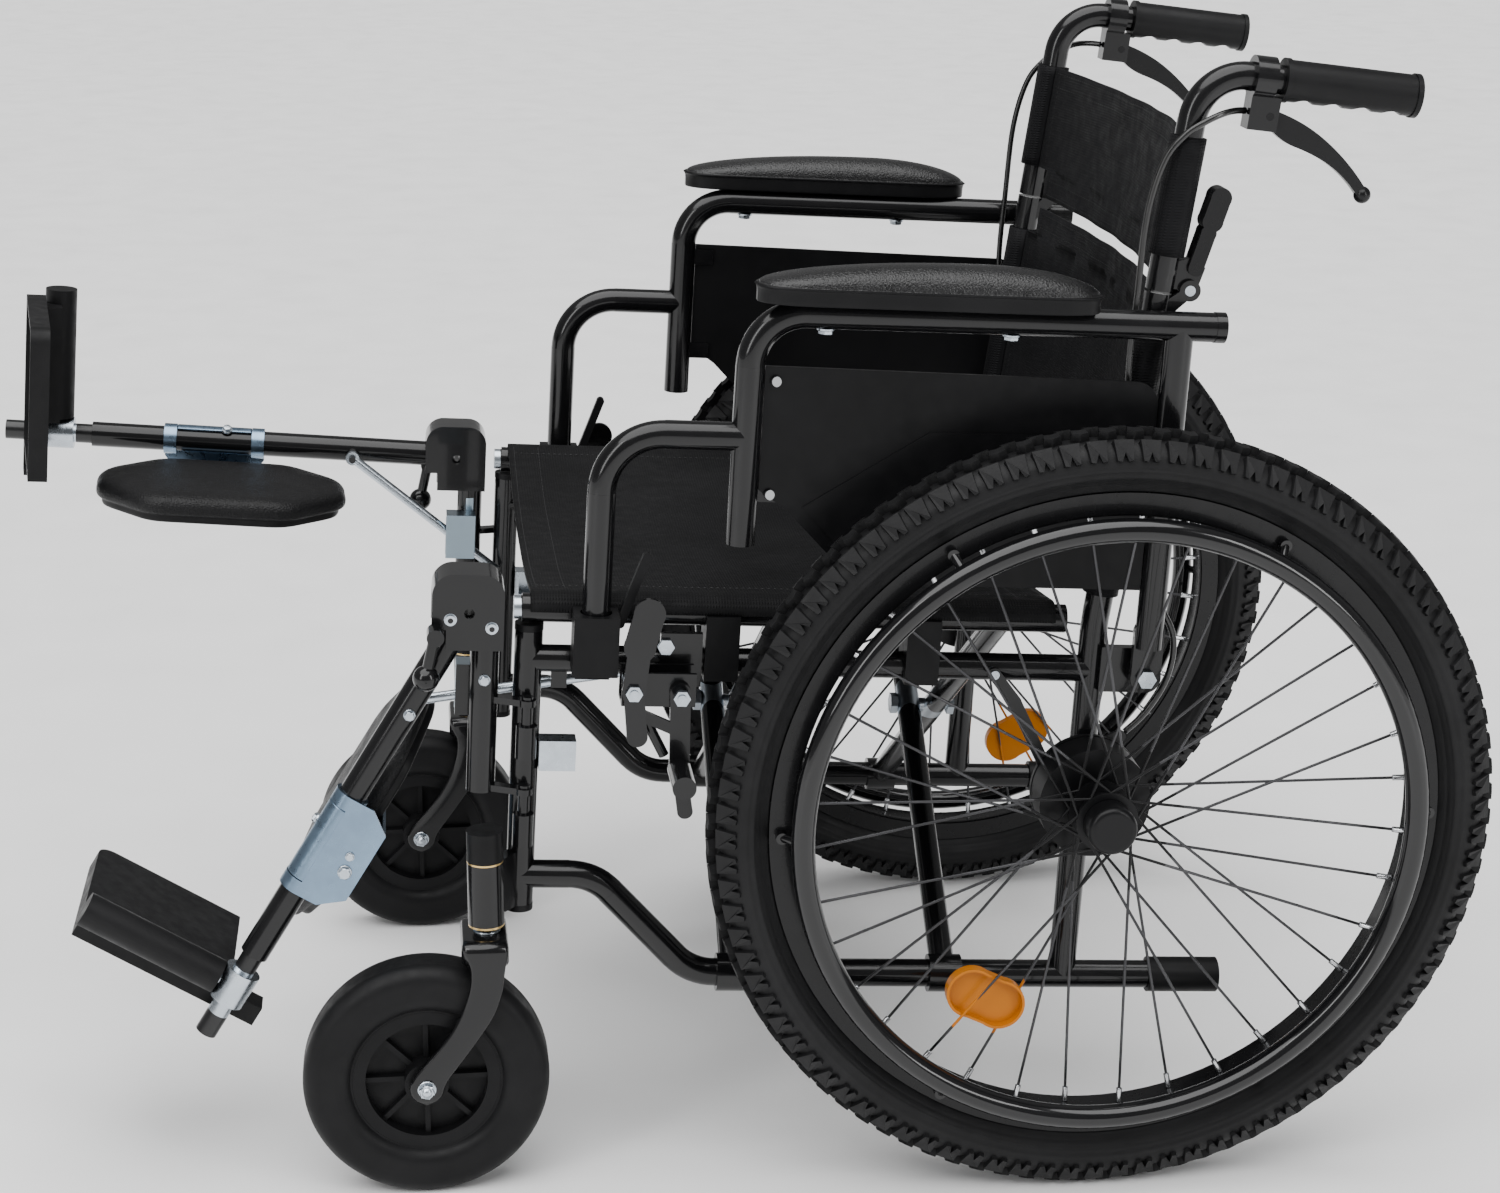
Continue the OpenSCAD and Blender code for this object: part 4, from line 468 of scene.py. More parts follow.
def stitch(a, b, lift):
    """One stitch: a short flat lozenge of thread from a to b, raised by lift."""
    rise = lift.normalized()
    side = (b - a).normalized().cross(rise).normalized() * STITCH_W / 2
    mid = (a + b) / 2 + lift
    ends = lift * STITCH_SINK
    verts = [a + ends, mid - side, mid + rise * STITCH_W * 0.5, mid + side, b + ends]
    return verts, [(0, 1, 2), (0, 2, 3), (1, 4, 2), (2, 4, 3)]


def add_stitches(verts, faces, index, points, lift):
    """Adds a row of stitches along points to a mesh."""
    for a, b in zip(points, points[1:]):
        n = max(1, round((b - a).length / STITCH_PITCH))
        for i in range(n):
            v, f = stitch(a.lerp(b, (i + STITCH_FROM) / n), a.lerp(b, (i + STITCH_TO) / n), lift)
            k = len(verts)
            verts += v
            faces += [tuple(x + k for x in g) for g in f]
            index += [1] * len(f)


def cloth_piece(name, path_fn, rows, cols, mat, seams, lift):
    """A thick cloth from a grid of its middle surface, with rows of stitches."""
    verts = [path_fn(i / (rows - 1), j / (cols - 1)) for i in range(rows) for j in range(cols)]
    n = len(verts)
    normals = []
    for i in range(rows):
        for j in range(cols):
            a = verts[min(i + 1, rows - 1) * cols + j] - verts[max(i - 1, 0) * cols + j]
            b = verts[i * cols + min(j + 1, cols - 1)] - verts[i * cols + max(j - 1, 0)]
            normals.append(a.cross(b).normalized() if a.cross(b).length > 1e-12 else lift)
    out = [v + k * CLOTH / 2 for v, k in zip(verts, normals)]
    out += [v - k * CLOTH / 2 for v, k in zip(verts, normals)]
    # both sides, then the edge all round
    faces = grid_faces(rows, cols)
    faces += [tuple(x + n for x in reversed(f)) for f in faces]
    rim = list(range(cols)) + [i * cols + cols - 1 for i in range(1, rows)]
    rim += [(rows - 1) * cols + j for j in range(cols - 2, -1, -1)]
    rim += [i * cols for i in range(rows - 2, 0, -1)]
    faces += [(a, b, b + n, a + n) for a, b in zip(rim, rim[1:] + rim[:1])]
    index = [0] * len(faces)
    for line in seams:
        add_stitches(out, faces, index, line, lift * STITCH_LIFT)
    return make(name, out, faces, [mat, thread], index)


# Seat sling: it lies over both seat rails and sags between them

SLING_R = TUBE_R + CLOTH_GAP + CLOTH / 2 + 0.0002
SLING_SAG = 0.016
SLING_FRONT, SLING_REAR = -0.437, -0.034
SLING_SLACK = 1.002  # length of the sagging half over the distance that it spans
SLING_WRAP = SLING_R * math.pi / 2
SLING_FLAT = 2 * (SLING_WRAP + FRAME_X * SLING_SLACK)
SLING_GRID = (56, 90)
# height of a wave, and its turns in radians along the sling and from the middle to a rail
SLING_WAVES = ((0.0012, 9, 5), (0.0010, 23, -3.1))
SLING_EDGE_DROP = 0.0030
# seams as shares of the sling's length and width
HEMS, HEM_FROM, HEM_SPAN = (0.012, 0.066, 0.934, 0.988), 0.055, 0.89
RAIL_SEAMS, RAIL_SEAM_FROM, RAIL_SEAM_SPAN = (0.085, 0.915), 0.01, 0.98
SEAM_STEPS = 40


def sling_section(v):
    """Distance from the middle and height of the sling at share v of its width, from the left edge."""
    d = v * SLING_FLAT
    if d < SLING_WRAP:
        a = d / SLING_WRAP * math.pi / 2
        return FRAME_X + SLING_R * math.cos(a), SEAT_W + SLING_R * math.sin(a)
    if d > SLING_FLAT - SLING_WRAP:
        a = (SLING_FLAT - d) / SLING_WRAP * math.pi / 2
        return -FRAME_X - SLING_R * math.cos(a), SEAT_W + SLING_R * math.sin(a)
    x = FRAME_X * (1 - 2 * (d - SLING_WRAP) / (SLING_FLAT - 2 * SLING_WRAP))
    return x, SEAT_W + SLING_R - SLING_SAG * (1 - (x / FRAME_X) ** 2)


def sling(s, v):
    """A point of the sling: shallow waves fade at the rails, and its front and rear edges hang lower."""
    x, w = sling_section(v)
    u = SLING_FRONT + (SLING_REAR - SLING_FRONT) * s
    slack = max(0.0, 1 - (x / FRAME_X) ** 2)
    edge = 4 * (s - 0.5) ** 2
    waves = sum(high * math.sin(f * s + g * x / FRAME_X) for high, f, g in SLING_WAVES)
    return at(x, u, w + slack * (waves - SLING_EDGE_DROP * edge))


raised = UP * CLOTH * SEAM_RISE
steps = range(SEAM_STEPS + 1)
lines = [[sling(s, HEM_FROM + HEM_SPAN * k / SEAM_STEPS) + raised for k in steps] for s in HEMS]
lines += [[sling(RAIL_SEAM_FROM + RAIL_SEAM_SPAN * k / SEAM_STEPS, v) + raised for k in steps]
          for v in RAIL_SEAMS]
seat = cloth_piece("seat_sling", sling, *SLING_GRID, seat_cloth, lines, UP)
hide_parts("left_seat_half", "right_seat_half")
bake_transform(seat)

# Back upholstery: two panels between sleeves round the canes, each narrower beside the hinge

BACK_SAG = 0.024
REACH = FRAME_X - TUBE_R - CLOTH_GAP
PANEL_REACH, FLAP_REACH = REACH * 0.996, FRAME_X - 0.032
SLEEVE_R = TUBE_R + CLOTH_GAP + CLOTH / 2
# height of a ripple, and its turns in radians for a metre of height and for the panel's width
BACK_WAVES = ((0.0014, 55, 4), (0.0010, 15, 31))
# heights along the cane of a panel's ends between the sleeves and of its flap's end, and the body it rides
BACK_PANELS = {"lower": (0.024, 0.232, 0.256, "side"), "upper": (0.290, 0.379, 0.266, "back")}
PANEL_STEPS, FLAP_STEPS, PANEL_COLS, SLEEVE_GRID = 26, 5, 64, (12, 40)
EDGE_SEAMS, SEAM_INSET, SIDE_SEAMS = (0.004, 0.016), 0.008, (0.035, 0.965)


def back_point(h, v, reach):
    """A point of the back at height h and share v of the width: it sags to the rear between the canes."""
    x = reach * (1 - 2 * v)
    k = 1 - (x / REACH) ** 2
    ripple = k * sum(high * math.sin(f * h + g * v) for high, f, g in BACK_WAVES)
    return cane(x, BACK_SAG * k + ripple, h)


raised = AHEAD * CLOTH * SEAM_RISE
for part, (h0, h1, flap, body) in BACK_PANELS.items():
    table = [(h, PANEL_REACH) for h in spaced(h0, h1, PANEL_STEPS)]
    if part == "lower":
        table += [(h, FLAP_REACH) for h in spaced(h1, flap, FLAP_STEPS)]
    else:
        table = [(h, FLAP_REACH) for h in spaced(flap, h0, FLAP_STEPS)] + table

    def panel(s, v, table=table):
        h, reach = table[round(s * (len(table) - 1))]
        return back_point(h, v, reach)

    low, top = min(h0, flap), max(h1, flap)
    lines = []
    for d in EDGE_SEAMS:
        for h in (low + d, top - d):
            reach = (REACH if h0 <= h <= h1 else FLAP_REACH) - SEAM_INSET
            lines.append([back_point(h, v, reach) + raised for v in spaced(0, 1, 44)])
    for v in SIDE_SEAMS:
        lines.append([back_point(h, v, REACH) + raised for h in spaced(h0, h1, 20)[1:-1]])
    piece = cloth_piece(f"back_{part}_panel", panel, len(table), PANEL_COLS, back_cloth, lines, AHEAD)
    for side, word in SIDES.items():
        def sleeve(s, v, side=side, h0=h0, h1=h1):
            a = math.pi + 2 * math.pi * v
            depth = SLEEVE_R * math.sin(a) * side
            return flip(side, cane(FRAME_X + SLEEVE_R * math.cos(a), depth, h0 + (h1 - h0) * s))

        ob = cloth_piece(f"{word}_back_{part}_sleeve", sleeve, *SLEEVE_GRID, back_cloth, [], AHEAD)
        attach(ob, f"{word}_{body}")
    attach(piece, f"left_{body}")
    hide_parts(f"back_{part}")
    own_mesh(piece)

# Rear tyres: a ribbed casing with staggered centre blocks and notched shoulder knobs

TYRE_C, TYRE_RISE, TYRE_HALF = 0.278, 0.0195, 0.0215
BEAD_R, BEAD_HALF = 0.2585, 0.0112
TYRE_STEPS, CASING_STEPS, CASING_STEP = 160, 30, 4.5
# angles across the casing between which it has a moulded rib
RIBS, RIB_RISE = ((92, 98), (108, 114)), 0.0007
KNOBS = 92
KNOB_SINK, KNOB_FALL = 0.0012, 75
# knob outlines: share of the pitch along the tread, and angle across the casing from its crown
SHOULDER = [(-0.35, 75), (-0.15, 77), (0.0, 58), (0.15, 77), (0.35, 75), (0.43, 30), (-0.43, 30)]
CENTRE = [(-0.36, 16), (0.0, 21), (0.36, 16), (0.30, -1), (0.0, 3), (-0.30, -1)]
# outline, share of a pitch that the row is moved by, height at the crown and at the shoulder, taper
KNOB_ROWS = ((SHOULDER, 0, 0.0068, 0.0034, 0.86), (CENTRE, 0.5, 0.0070, 0.0060, 0.82))


def wheel_point(side, turn, x, r):
    return Vector((side * (WHEEL_X + x), AXLE_Y + r * math.sin(turn), WHEEL_R + r * math.cos(turn)))


def casing(across, lift):
    """Offset from the wheel's middle plane and radius, at an angle across from the crown and a lift."""
    return (TYRE_HALF + lift) * math.sin(across), TYRE_C + (TYRE_RISE + lift) * math.cos(across)


def tyre_point(side, turn, across, lift):
    return wheel_point(side, turn, *casing(across, lift))


def casing_profile():
    """The casing from bead to bead, with two moulded ribs on each sidewall."""
    bead = [(BEAD_HALF, BEAD_R - 0.008), (BEAD_HALF, BEAD_R), (BEAD_HALF + 0.003, BEAD_R + 0.001)]
    crown = []
    for k in range(-CASING_STEPS, CASING_STEPS + 1):
        deg = k * CASING_STEP
        rib = RIB_RISE if any(a < abs(deg) < b for a, b in RIBS) else 0.0
        crown.append(casing(math.radians(deg), rib))
    return [(-x, r) for x, r in bead] + crown + bead[::-1]


def knob(side, turn, pitch, outline, mirror, top, low, taper):
    """A tapered block: its foot sits in the casing, its top is smaller by the taper."""
    n = len(outline)
    mid = sum(a for _, a in outline) / n
    verts = [tyre_point(side, turn + f * pitch, math.radians(a) * mirror, -KNOB_SINK) for f, a in outline]
    for f, a in outline:
        a1 = mid + (a - mid) * taper
        lift = top + (low - top) * min(1.0, abs(a1) / KNOB_FALL)
        verts.append(tyre_point(side, turn + f * taper * pitch, math.radians(a1) * mirror, lift))
    faces = [(k, (k + 1) % n, n + (k + 1) % n, n + k) for k in range(n)]
    return verts, faces + [tuple(range(n - 1, -1, -1)), tuple(range(n, 2 * n))]


def tyre_mesh(name, side):
    section = casing_profile()
    verts = [wheel_point(side, turn, x, r) for x, r in section for turn in circle(TYRE_STEPS)]
    faces = grid_faces(len(section), TYRE_STEPS, True)
    last = (len(section) - 1) * TYRE_STEPS
    faces += [(i, last + i, last + (i + 1) % TYRE_STEPS, (i + 1) % TYRE_STEPS) for i in range(TYRE_STEPS)]
    smooth_count = len(faces)
    pitch = 2 * math.pi / KNOBS
    for i in range(KNOBS):
        for mirror in (1, -1):
            stagger = 0.5 * pitch if mirror < 0 else 0.0
            for outline, moved, top, low, taper in KNOB_ROWS:
                v, f = knob(side, (i + moved) * pitch + stagger, pitch, outline, mirror, top, low, taper)
                faces += [tuple(k + len(verts) for k in g) for g in f]
                verts += v
    ob = make(name, verts, faces, [rubber])
    for k, face in enumerate(ob.data.polygons):
        face.use_smooth = k < smooth_count
    return ob


for side, word in SIDES.items():
    ob = tyre_mesh(f"{word}_knobby_tyre", side)
    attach(ob, f"{word}_rear_wheel")
    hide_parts(f"{word}_tyre")

# Arm pads: a crowned cushion on a moulded base

PAD_X, PAD_L, PAD_W = 0.271, 0.258, 0.050
PAD_U = -0.286 + PAD_L / 2
PAD_LOW = ARM_W + TUBE_R + 0.00015
PAD_BASE, PAD_TOP, PAD_PEAK = 0.0138, 0.0315, 0.3
PAD_ROWS = 56
# half width share and height of the moulded base, with the lip that holds the cushion's edge
PAD_STRIP = [(0.0, 0.0), (0.70, 0.0), (0.93, 0.0), (0.965, 0.0006), (0.97, 0.003), (0.97, 0.0112),
             (0.975, 0.0118), (1.0, 0.0121), (1.004, 0.0130), (0.995, PAD_BASE), (0.97, PAD_BASE),
             (0.955, 0.0132)]
PAD_CROWN = [0.945, 0.93, 0.89, 0.82, 0.72, 0.58, 0.40, 0.20, 0.0]
CROWN_W = 0.95  # width share where the crown meets the base
# height below which a ring belongs to the base or to the lip, and the share of the length that each has
PAD_BASE_END, PAD_LIP_END = (0.0115, 0.985), (0.0135, 1.0)
PAD_CUSHION_END = 0.975


def pad_height(t):
    """Share of the crown's height along the pad: highest behind its middle, falling in long curves."""
    q = (t - PAD_PEAK) / (1 - PAD_PEAK if t > PAD_PEAK else -1 - PAD_PEAK)
    return max(0.0, 1 - q ** 2.2) ** 0.69


def pad_length(z):
    """Share of the pad's length at a height: the lip is longest."""
    for below, share in (PAD_BASE_END, PAD_LIP_END):
        if z < below:
            return share
    return PAD_CUSHION_END


def pad_mesh(name, side):
    verts = []
    for i in range(PAD_ROWS):
        t = -math.cos(math.pi * i / (PAD_ROWS - 1))
        wide = max(0.03, 1 - abs(t) ** 9) ** 0.5
        rise = (PAD_TOP - PAD_BASE) * (0.04 + 0.96 * pad_height(t))
        half = PAD_STRIP + [(k, PAD_BASE + rise * (1 - (k / CROWN_W) ** 2.4) ** 0.5) for k in PAD_CROWN]
        ring = half + [(-k, z) for k, z in half[-2:0:-1]]
        for k, z in ring:
            point = at(PAD_X + k * PAD_W / 2 * wide, PAD_U + t * PAD_L / 2 * pad_length(z), PAD_LOW + z)
            verts.append(flip(side, point))
    n = len(ring)
    strip = len(PAD_STRIP) - 2
    index = [1 if j < strip or j >= n - strip else 0 for _ in range(PAD_ROWS - 1) for j in range(n)] + [1, 1]
    return soften(make(name, verts, rod_faces(PAD_ROWS, n), [leather, mould], index))


for side, word in SIDES.items():
    ob = pad_mesh(f"{word}_arm_pad", side)
    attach(ob, f"{word}_armrest")
    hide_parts(f"{word}_armrest_pad")

# Calf pads: a board under an upholstered octagon with a welt

CALF_L, CALF_W, CALF_FROM, CALF_IN = 0.213, 0.143, 0.097, 0.022
CALF_CUT, CALF_ROUND = 0.046, 0.014
CALF_LOW = -0.034
CALF_X, CALF_S = -CALF_IN - CALF_W / 2, CALF_FROM + CALF_L / 2
CALF_PULL = 0.006  # by which the cover draws in between the corners
# share of the outline's size, and height from the board's rear face
CALF_PROFILE = [(0.0, 0.0), (0.85, 0.0), (0.935, 0.0004), (0.95, 0.002), (0.95, 0.0066), (0.955, 0.0074),
                (0.985, 0.0082), (0.998, 0.0105), (1.0, 0.0140), (0.99, 0.0175), (0.955, 0.0212),
                (0.90, 0.0234), (0.80, 0.0250), (0.60, 0.0261), (0.35, 0.0266), (0.0, 0.0268)]
CALF_THICK = CALF_PROFILE[-1][1]
BOARD_ROWS = 4


def calf_outline():
    """Points round an octagon with rounded corners: along the leg and across it, from the pad's middle."""
    a, b, cut = CALF_L / 2, CALF_W / 2, CALF_CUT
    corners = [Vector(p) for p in ((a, -b + cut), (a, b - cut), (a - cut, b), (-a + cut, b), (-a, b - cut),
                                   (-a, -b + cut), (-a + cut, -b), (a - cut, -b))]
    points = []
    for i, corner in enumerate(corners):
        last, after = corners[i - 1], corners[(i + 1) % len(corners)]
        start = corner + (last - corner).normalized() * CALF_ROUND
        end = corner + (after - corner).normalized() * CALF_ROUND
        for f in spaced(0, 1, 4):
            points.append((1 - f) ** 2 * start + 2 * f * (1 - f) * corner + f * f * end)
        points += [end.lerp(after + (corner - after).normalized() * CALF_ROUND, k / 4) for k in range(1, 4)]
    return points


def calf_mesh(name, side):
    outline = calf_outline()
    n = len(outline)
    rows = CALF_PROFILE[1:-1]
    verts = []
    for share, z in rows:
        for k, p in enumerate(outline):
            pull = 1 - CALF_PULL * math.sin(math.pi * (z / CALF_THICK)) * math.cos(8 * 2 * math.pi * k / n)
            point = leg(side, CALF_X + p.y * share * pull, CALF_S - p.x * share * pull, CALF_LOW + z)
            verts.append(flip(side, point))
    faces = grid_faces(len(rows), n, True)
    a = len(verts)
    for _, z in (CALF_PROFILE[0], CALF_PROFILE[-1]):
        verts.append(flip(side, leg(side, CALF_X, CALF_S, CALF_LOW + z)))
    top = (len(rows) - 1) * n
    faces += [(a, (j + 1) % n, j) for j in range(n)]
    faces += [(a + 1, top + j, top + (j + 1) % n) for j in range(n)]
    index = [1 if f < BOARD_ROWS * n else 0 for f in range(top)] + [1] * n + [0] * n
    return soften(make(name, verts, faces, [calf_leather, mould], index))


for side, word in SIDES.items():
    ob = calf_mesh(f"{word}_calf_cushion", side)
    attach(ob, f"{word}_calf")
    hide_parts(f"{word}_calf_pad")

# Brake cables, from the brake perch down to the drum's backing plate

ROUTE = [(0.229, 0.077, 0.528), (0.234, 0.068, 0.528), (0.2405, 0.057, 0.526), (0.2432, 0.044, 0.520),
         (0.2432, 0.030, 0.510), (0.2432, 0.016, 0.490), (0.2432, 0.007, 0.450), (0.244, 0.005, 0.390),
         (0.244, 0.004, 0.330), (0.246, 0.010, 0.260), (0.245, 0.026, 0.190), (0.2434, 0.046, 0.150),
         (0.243, 0.060, 0.122), (0.243, 0.058, 0.090), (0.243, 0.044, 0.062), (0.243, 0.0286, 0.0451)]
CABLE_D, CABLE_SIDES, ROUTE_STEPS = 0.005, 14, 6


def tube_mesh(name, path, d, sides, mats):
    verts = []
    for i, p in enumerate(path):
        t = (path[min(i + 1, len(path) - 1)] - path[max(i - 1, 0)]).normalized()
        a = t.cross(Vector((1, 0, 0))).normalized()
        b = a.cross(t)
        verts += [p + d / 2 * (math.cos(g) * a + math.sin(g) * b) for g in circle(sides)]
    return make(name, verts, rod_faces(len(path), sides), mats)


for side, word in SIDES.items():
    path = [flip(side, p) for p in spline([at(*p) for p in ROUTE], ROUTE_STEPS)]
    ob = tube_mesh(f"{word}_cable", path, CABLE_D, CABLE_SIDES, [cable_mat])
    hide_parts(f"{word}_brake_cable")
    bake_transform(ob)

# Small fasteners

BOLT_SIDES = 24
LEG_TUBE_R, PLATE_OUT = 0.0110, 0.0135
PAD_SCREW_X = 0.258


def bolt(name, place, axis, d, h):
    """A hexagon head with a washer under it and a chamfered top, standing on a face."""
    axis = axis.normalized()
    a = axis.orthogonal().normalized()
    b = axis.cross(a)
    # share of the width across flats, height above the face, and whether the ring is a hexagon
    rings = [(0.66, -0.0006, False), (0.66, 0.0008, False), (0.62, 0.0012, False), (0.5, 0.0012, True),
             (0.5, h * 0.86, True), (0.46, h, False), (0.2, h * 1.04, False)]
    verts = []
    for share, z, hexed in rings:
        for g in circle(BOLT_SIDES):
            out = share * d / (math.cos((g % (math.pi / 3)) - math.pi / 6) if hexed else 1)
            verts.append(place + axis * z + a * out * math.cos(g) + b * out * math.sin(g))
    return make(name, verts, rod_faces(len(rings), BOLT_SIDES), [zinc], smooth=False)


for side, word in SIDES.items():
    # name, body, place, way that it points, width across flats and height
    heads = (("strut_bolt", "leg", leg(side, LEG_TUBE_R, 0.093, -0.003), OUTWARD, 0.0070, 0.0042),
             ("post_bolt", "hanger", at(LEG_X + LEG_TUBE_R, -0.470, 0.079), OUTWARD, 0.0070, 0.0042),
             ("plate_bolt", "calf", leg(side, PLATE_OUT, 0.226, -0.024), OUTWARD, 0.0086, 0.0046),
             ("plate_stud", "calf", leg(side, PLATE_OUT, 0.213, -0.021), OUTWARD, 0.0056, 0.0028),
             ("front_pad_screw", "armrest", at(PAD_SCREW_X, -0.230, ARM_W - TUBE_R), -UP, 0.010, 0.0040),
             ("rear_pad_screw", "armrest", at(PAD_SCREW_X, -0.091, ARM_W - TUBE_R), -UP, 0.010, 0.0040))
    for name, body, place, axis, d, h in heads:
        ob = bolt(f"{word}_{name}", flip(side, place), flip(side, axis), d, h)
        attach(ob, f"{word}_{body}")

# Caster forks: one pressed strip, bowed along the legs and rounded over the crown

FORK_IN, FORK_OUT, FORK_BEND = 0.026, 0.031, 0.008
FORK_EYE_R, EYE_CUT = 0.0132, 0.0003
CROWN_LOW, CROWN_TOP, CROWN_BEND = 0.196, 0.212, 0.002
CROWN_STATIONS = (0.018, 0.012, 0.006)
COLLAR_R, STEM_R, STEM_TOP = 0.0105, 0.006, 0.282
AXLE_R, NUT_W, NUT_H = 0.004, 0.0108, 0.006
AXLE_END = FORK_OUT + NUT_H * 1.25
LEG_STEPS, BEND_STEPS, EDGE_STEPS = 36, 6, 8
# distance behind the swivel axis and height of the legs' rear and front edges, from the eye to the crown
FORK_REAR = [(-0.0365, 0.092), (-0.0325, 0.101), (-0.020, 0.118), (-0.0065, 0.137), (0.004, 0.154),
             (0.0095, 0.170), (0.0120, 0.185), (0.0138, 0.198), (0.016, CROWN_TOP)]
FORK_FRONT = [(-0.0615, 0.098), (-0.0560, 0.108), (-0.0430, 0.123), (-0.0305, 0.139), (-0.0210, 0.156),
              (-0.0155, 0.171), (-0.0132, 0.185), (-0.0145, 0.198), (-0.020, CROWN_TOP)]
# share of the strip's thickness, and distance from its edge
FORK_SECTION = [(0.0, 0.0), (0.62, 0.0), (0.88, 0.0007), (1.0, 0.0022)]
# radius and height of the stem with its collar, radius and place across of the axle
STEM_ROD = [(COLLAR_R, CROWN_TOP - 0.0004), (COLLAR_R, CROWN_TOP + 0.0014), (STEM_R, CROWN_TOP + 0.0018),
            (STEM_R, STEM_TOP)]
AXLE_ROD = [(AXLE_R, -AXLE_END), (AXLE_R, AXLE_END)]


def edge_at(edge, z):
    """The distance behind the swivel axis of a smooth edge at a height."""
    line = spline([Vector((*p, 0)) for p in edge], EDGE_STEPS)
    for a, b in zip(line, line[1:]):
        if a.y <= z <= b.y:
            return a.x + (b.x - a.x) * (z - a.y) / (b.y - a.y)
    return line[0].x if z < line[0].y else line[-1].x


def fork_edges(z):
    """Front and rear edge of a leg at a height: its bowed outline, widened by the round eye."""
    lift = z - CASTER_R
    eye = math.sqrt(max(0.0, FORK_EYE_R ** 2 - lift ** 2))
    front, rear = -CASTER_TRAIL - eye, -CASTER_TRAIL + eye
    if z > FORK_FRONT[0][1]:
        front = edge_at(FORK_FRONT, z)
    if z > FORK_REAR[0][1]:
        rear = max(rear, edge_at(FORK_REAR, z)) if eye else edge_at(FORK_REAR, z)
    return front, rear


def fork_stations():
    """Distance from the middle and height of the strip's inner and outer face, from an eye to the crown."""
    low = CASTER_R - FORK_EYE_R + EYE_CUT
    high = CROWN_TOP - FORK_BEND
    out = [(FORK_IN, z, FORK_OUT, z) for z in spaced(low, CROWN_LOW - CROWN_BEND, LEG_STEPS)]
    for a in spaced(0, math.pi / 2, BEND_STEPS):
        out.append((FORK_IN - CROWN_BEND * (1 - math.cos(a)), CROWN_LOW - CROWN_BEND * (1 - math.sin(a)),
                    FORK_OUT - FORK_BEND * (1 - math.cos(a)), high + FORK_BEND * math.sin(a)))
    return out + [(x, CROWN_LOW, x, CROWN_TOP) for x in CROWN_STATIONS]


def fork_mesh(name, side):
    half = fork_stations()
    strip = [(1, *p) for p in half] + [(-1, *p) for p in reversed(half)]
    verts = []
    for way, x0, z0, x1, z1 in strip:
        front, rear = fork_edges(z1)
        most = (rear - front) / 3
        ring = [(share, front + min(inset, most)) for share, inset in FORK_SECTION]
        ring += [(share, rear - min(inset, most)) for share, inset in reversed(FORK_SECTION)]
        for share, y in ring:
            x, z = x0 + (x1 - x0) * share, z0 + (z1 - z0) * share
            verts.append(flip(side, Vector((CASTER_X + way * x, CASTER_Y + y, z))))
    faces = rod_faces(len(strip), len(FORK_SECTION) * 2)
    index = [0] * len(faces)
    for rod in (STEM_ROD, AXLE_ROD):
        more = rod_faces(len(rod), BOLT_SIDES, len(verts))
        for r, h in rod:
            for g in circle(BOLT_SIDES):
                place = (r * math.cos(g), r * math.sin(g), h)
                if rod is AXLE_ROD:
                    place = (h, r * math.cos(g) - CASTER_TRAIL, r * math.sin(g) + CASTER_R)
                verts.append(flip(side, Vector((CASTER_X, CASTER_Y, 0)) + Vector(place)))
        faces += more
        index += [1] * len(more)
    return make(name, verts, faces, [fork_mat, zinc], index)


for side, word in SIDES.items():
    ob = fork_mesh(f"{word}_bowed_fork", side)
    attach(ob, f"{word}_caster_fork")
    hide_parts(f"{word}_caster_fork")
    for way, where in ((1, "outer"), (-1, "inner")):
        face = Vector((CASTER_X + way * FORK_OUT, CASTER_Y - CASTER_TRAIL, CASTER_R))
        ob = bolt(f"{word}_{where}_axle_nut", flip(side, face), flip(side, OUTWARD * way), NUT_W, NUT_H)
        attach(ob, f"{word}_caster_fork")

# Wraps of the calf brackets: the plate goes on round the front of the leg tube, between its two rings

WRAP_FROM, WRAP_TO, WRAP_IN, WRAP_OUT = 0.1835, 0.2485, 0.0114, 0.0132
WRAP_TURN, WRAP_STEPS, WRAP_BEVEL = (-4, 122), 36, 0.0004
STUD_S, STUD_W, STUD_H = 0.205, 0.007, 0.004


def wrap_mesh(name, side):
    bevel = WRAP_BEVEL
    section = ((WRAP_IN, WRAP_FROM), (WRAP_OUT - bevel, WRAP_FROM), (WRAP_OUT, WRAP_FROM + bevel),
               (WRAP_OUT, WRAP_FROM + 2 * bevel), (WRAP_OUT, WRAP_TO - 2 * bevel),
               (WRAP_OUT, WRAP_TO - bevel), (WRAP_OUT - bevel, WRAP_TO), (WRAP_IN, WRAP_TO))
    verts = []
    for deg in spaced(*WRAP_TURN, WRAP_STEPS):
        g = math.radians(deg)
        verts += [flip(side, leg(side, r * math.cos(g), s, r * math.sin(g))) for r, s in section]
    return make(name, verts, rod_faces(WRAP_STEPS + 1, len(section)), [blue_zinc])


for side, word in SIDES.items():
    ob = wrap_mesh(f"{word}_bracket_wrap", side)
    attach(ob, f"{word}_calf")
    way = leg(side, -0.5, 0, 1) - leg(side, 0, 0, 0)
    place = leg(side, 0, STUD_S, 0) + way.normalized() * WRAP_OUT
    ob = bolt(f"{word}_wrap_stud", flip(side, place), flip(side, way), STUD_W, STUD_H)
    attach(ob, f"{word}_calf")

# Floor, light and camera

FLOOR_HALF = 30
SKY_STRENGTH, SUN_STRENGTH, SUN_SPREAD = 0.28, 4.4, math.radians(70)
SUN_TURN = (math.radians(8), math.radians(14), 0)
LIGHT_TARGET = (0, 0, 0.5)
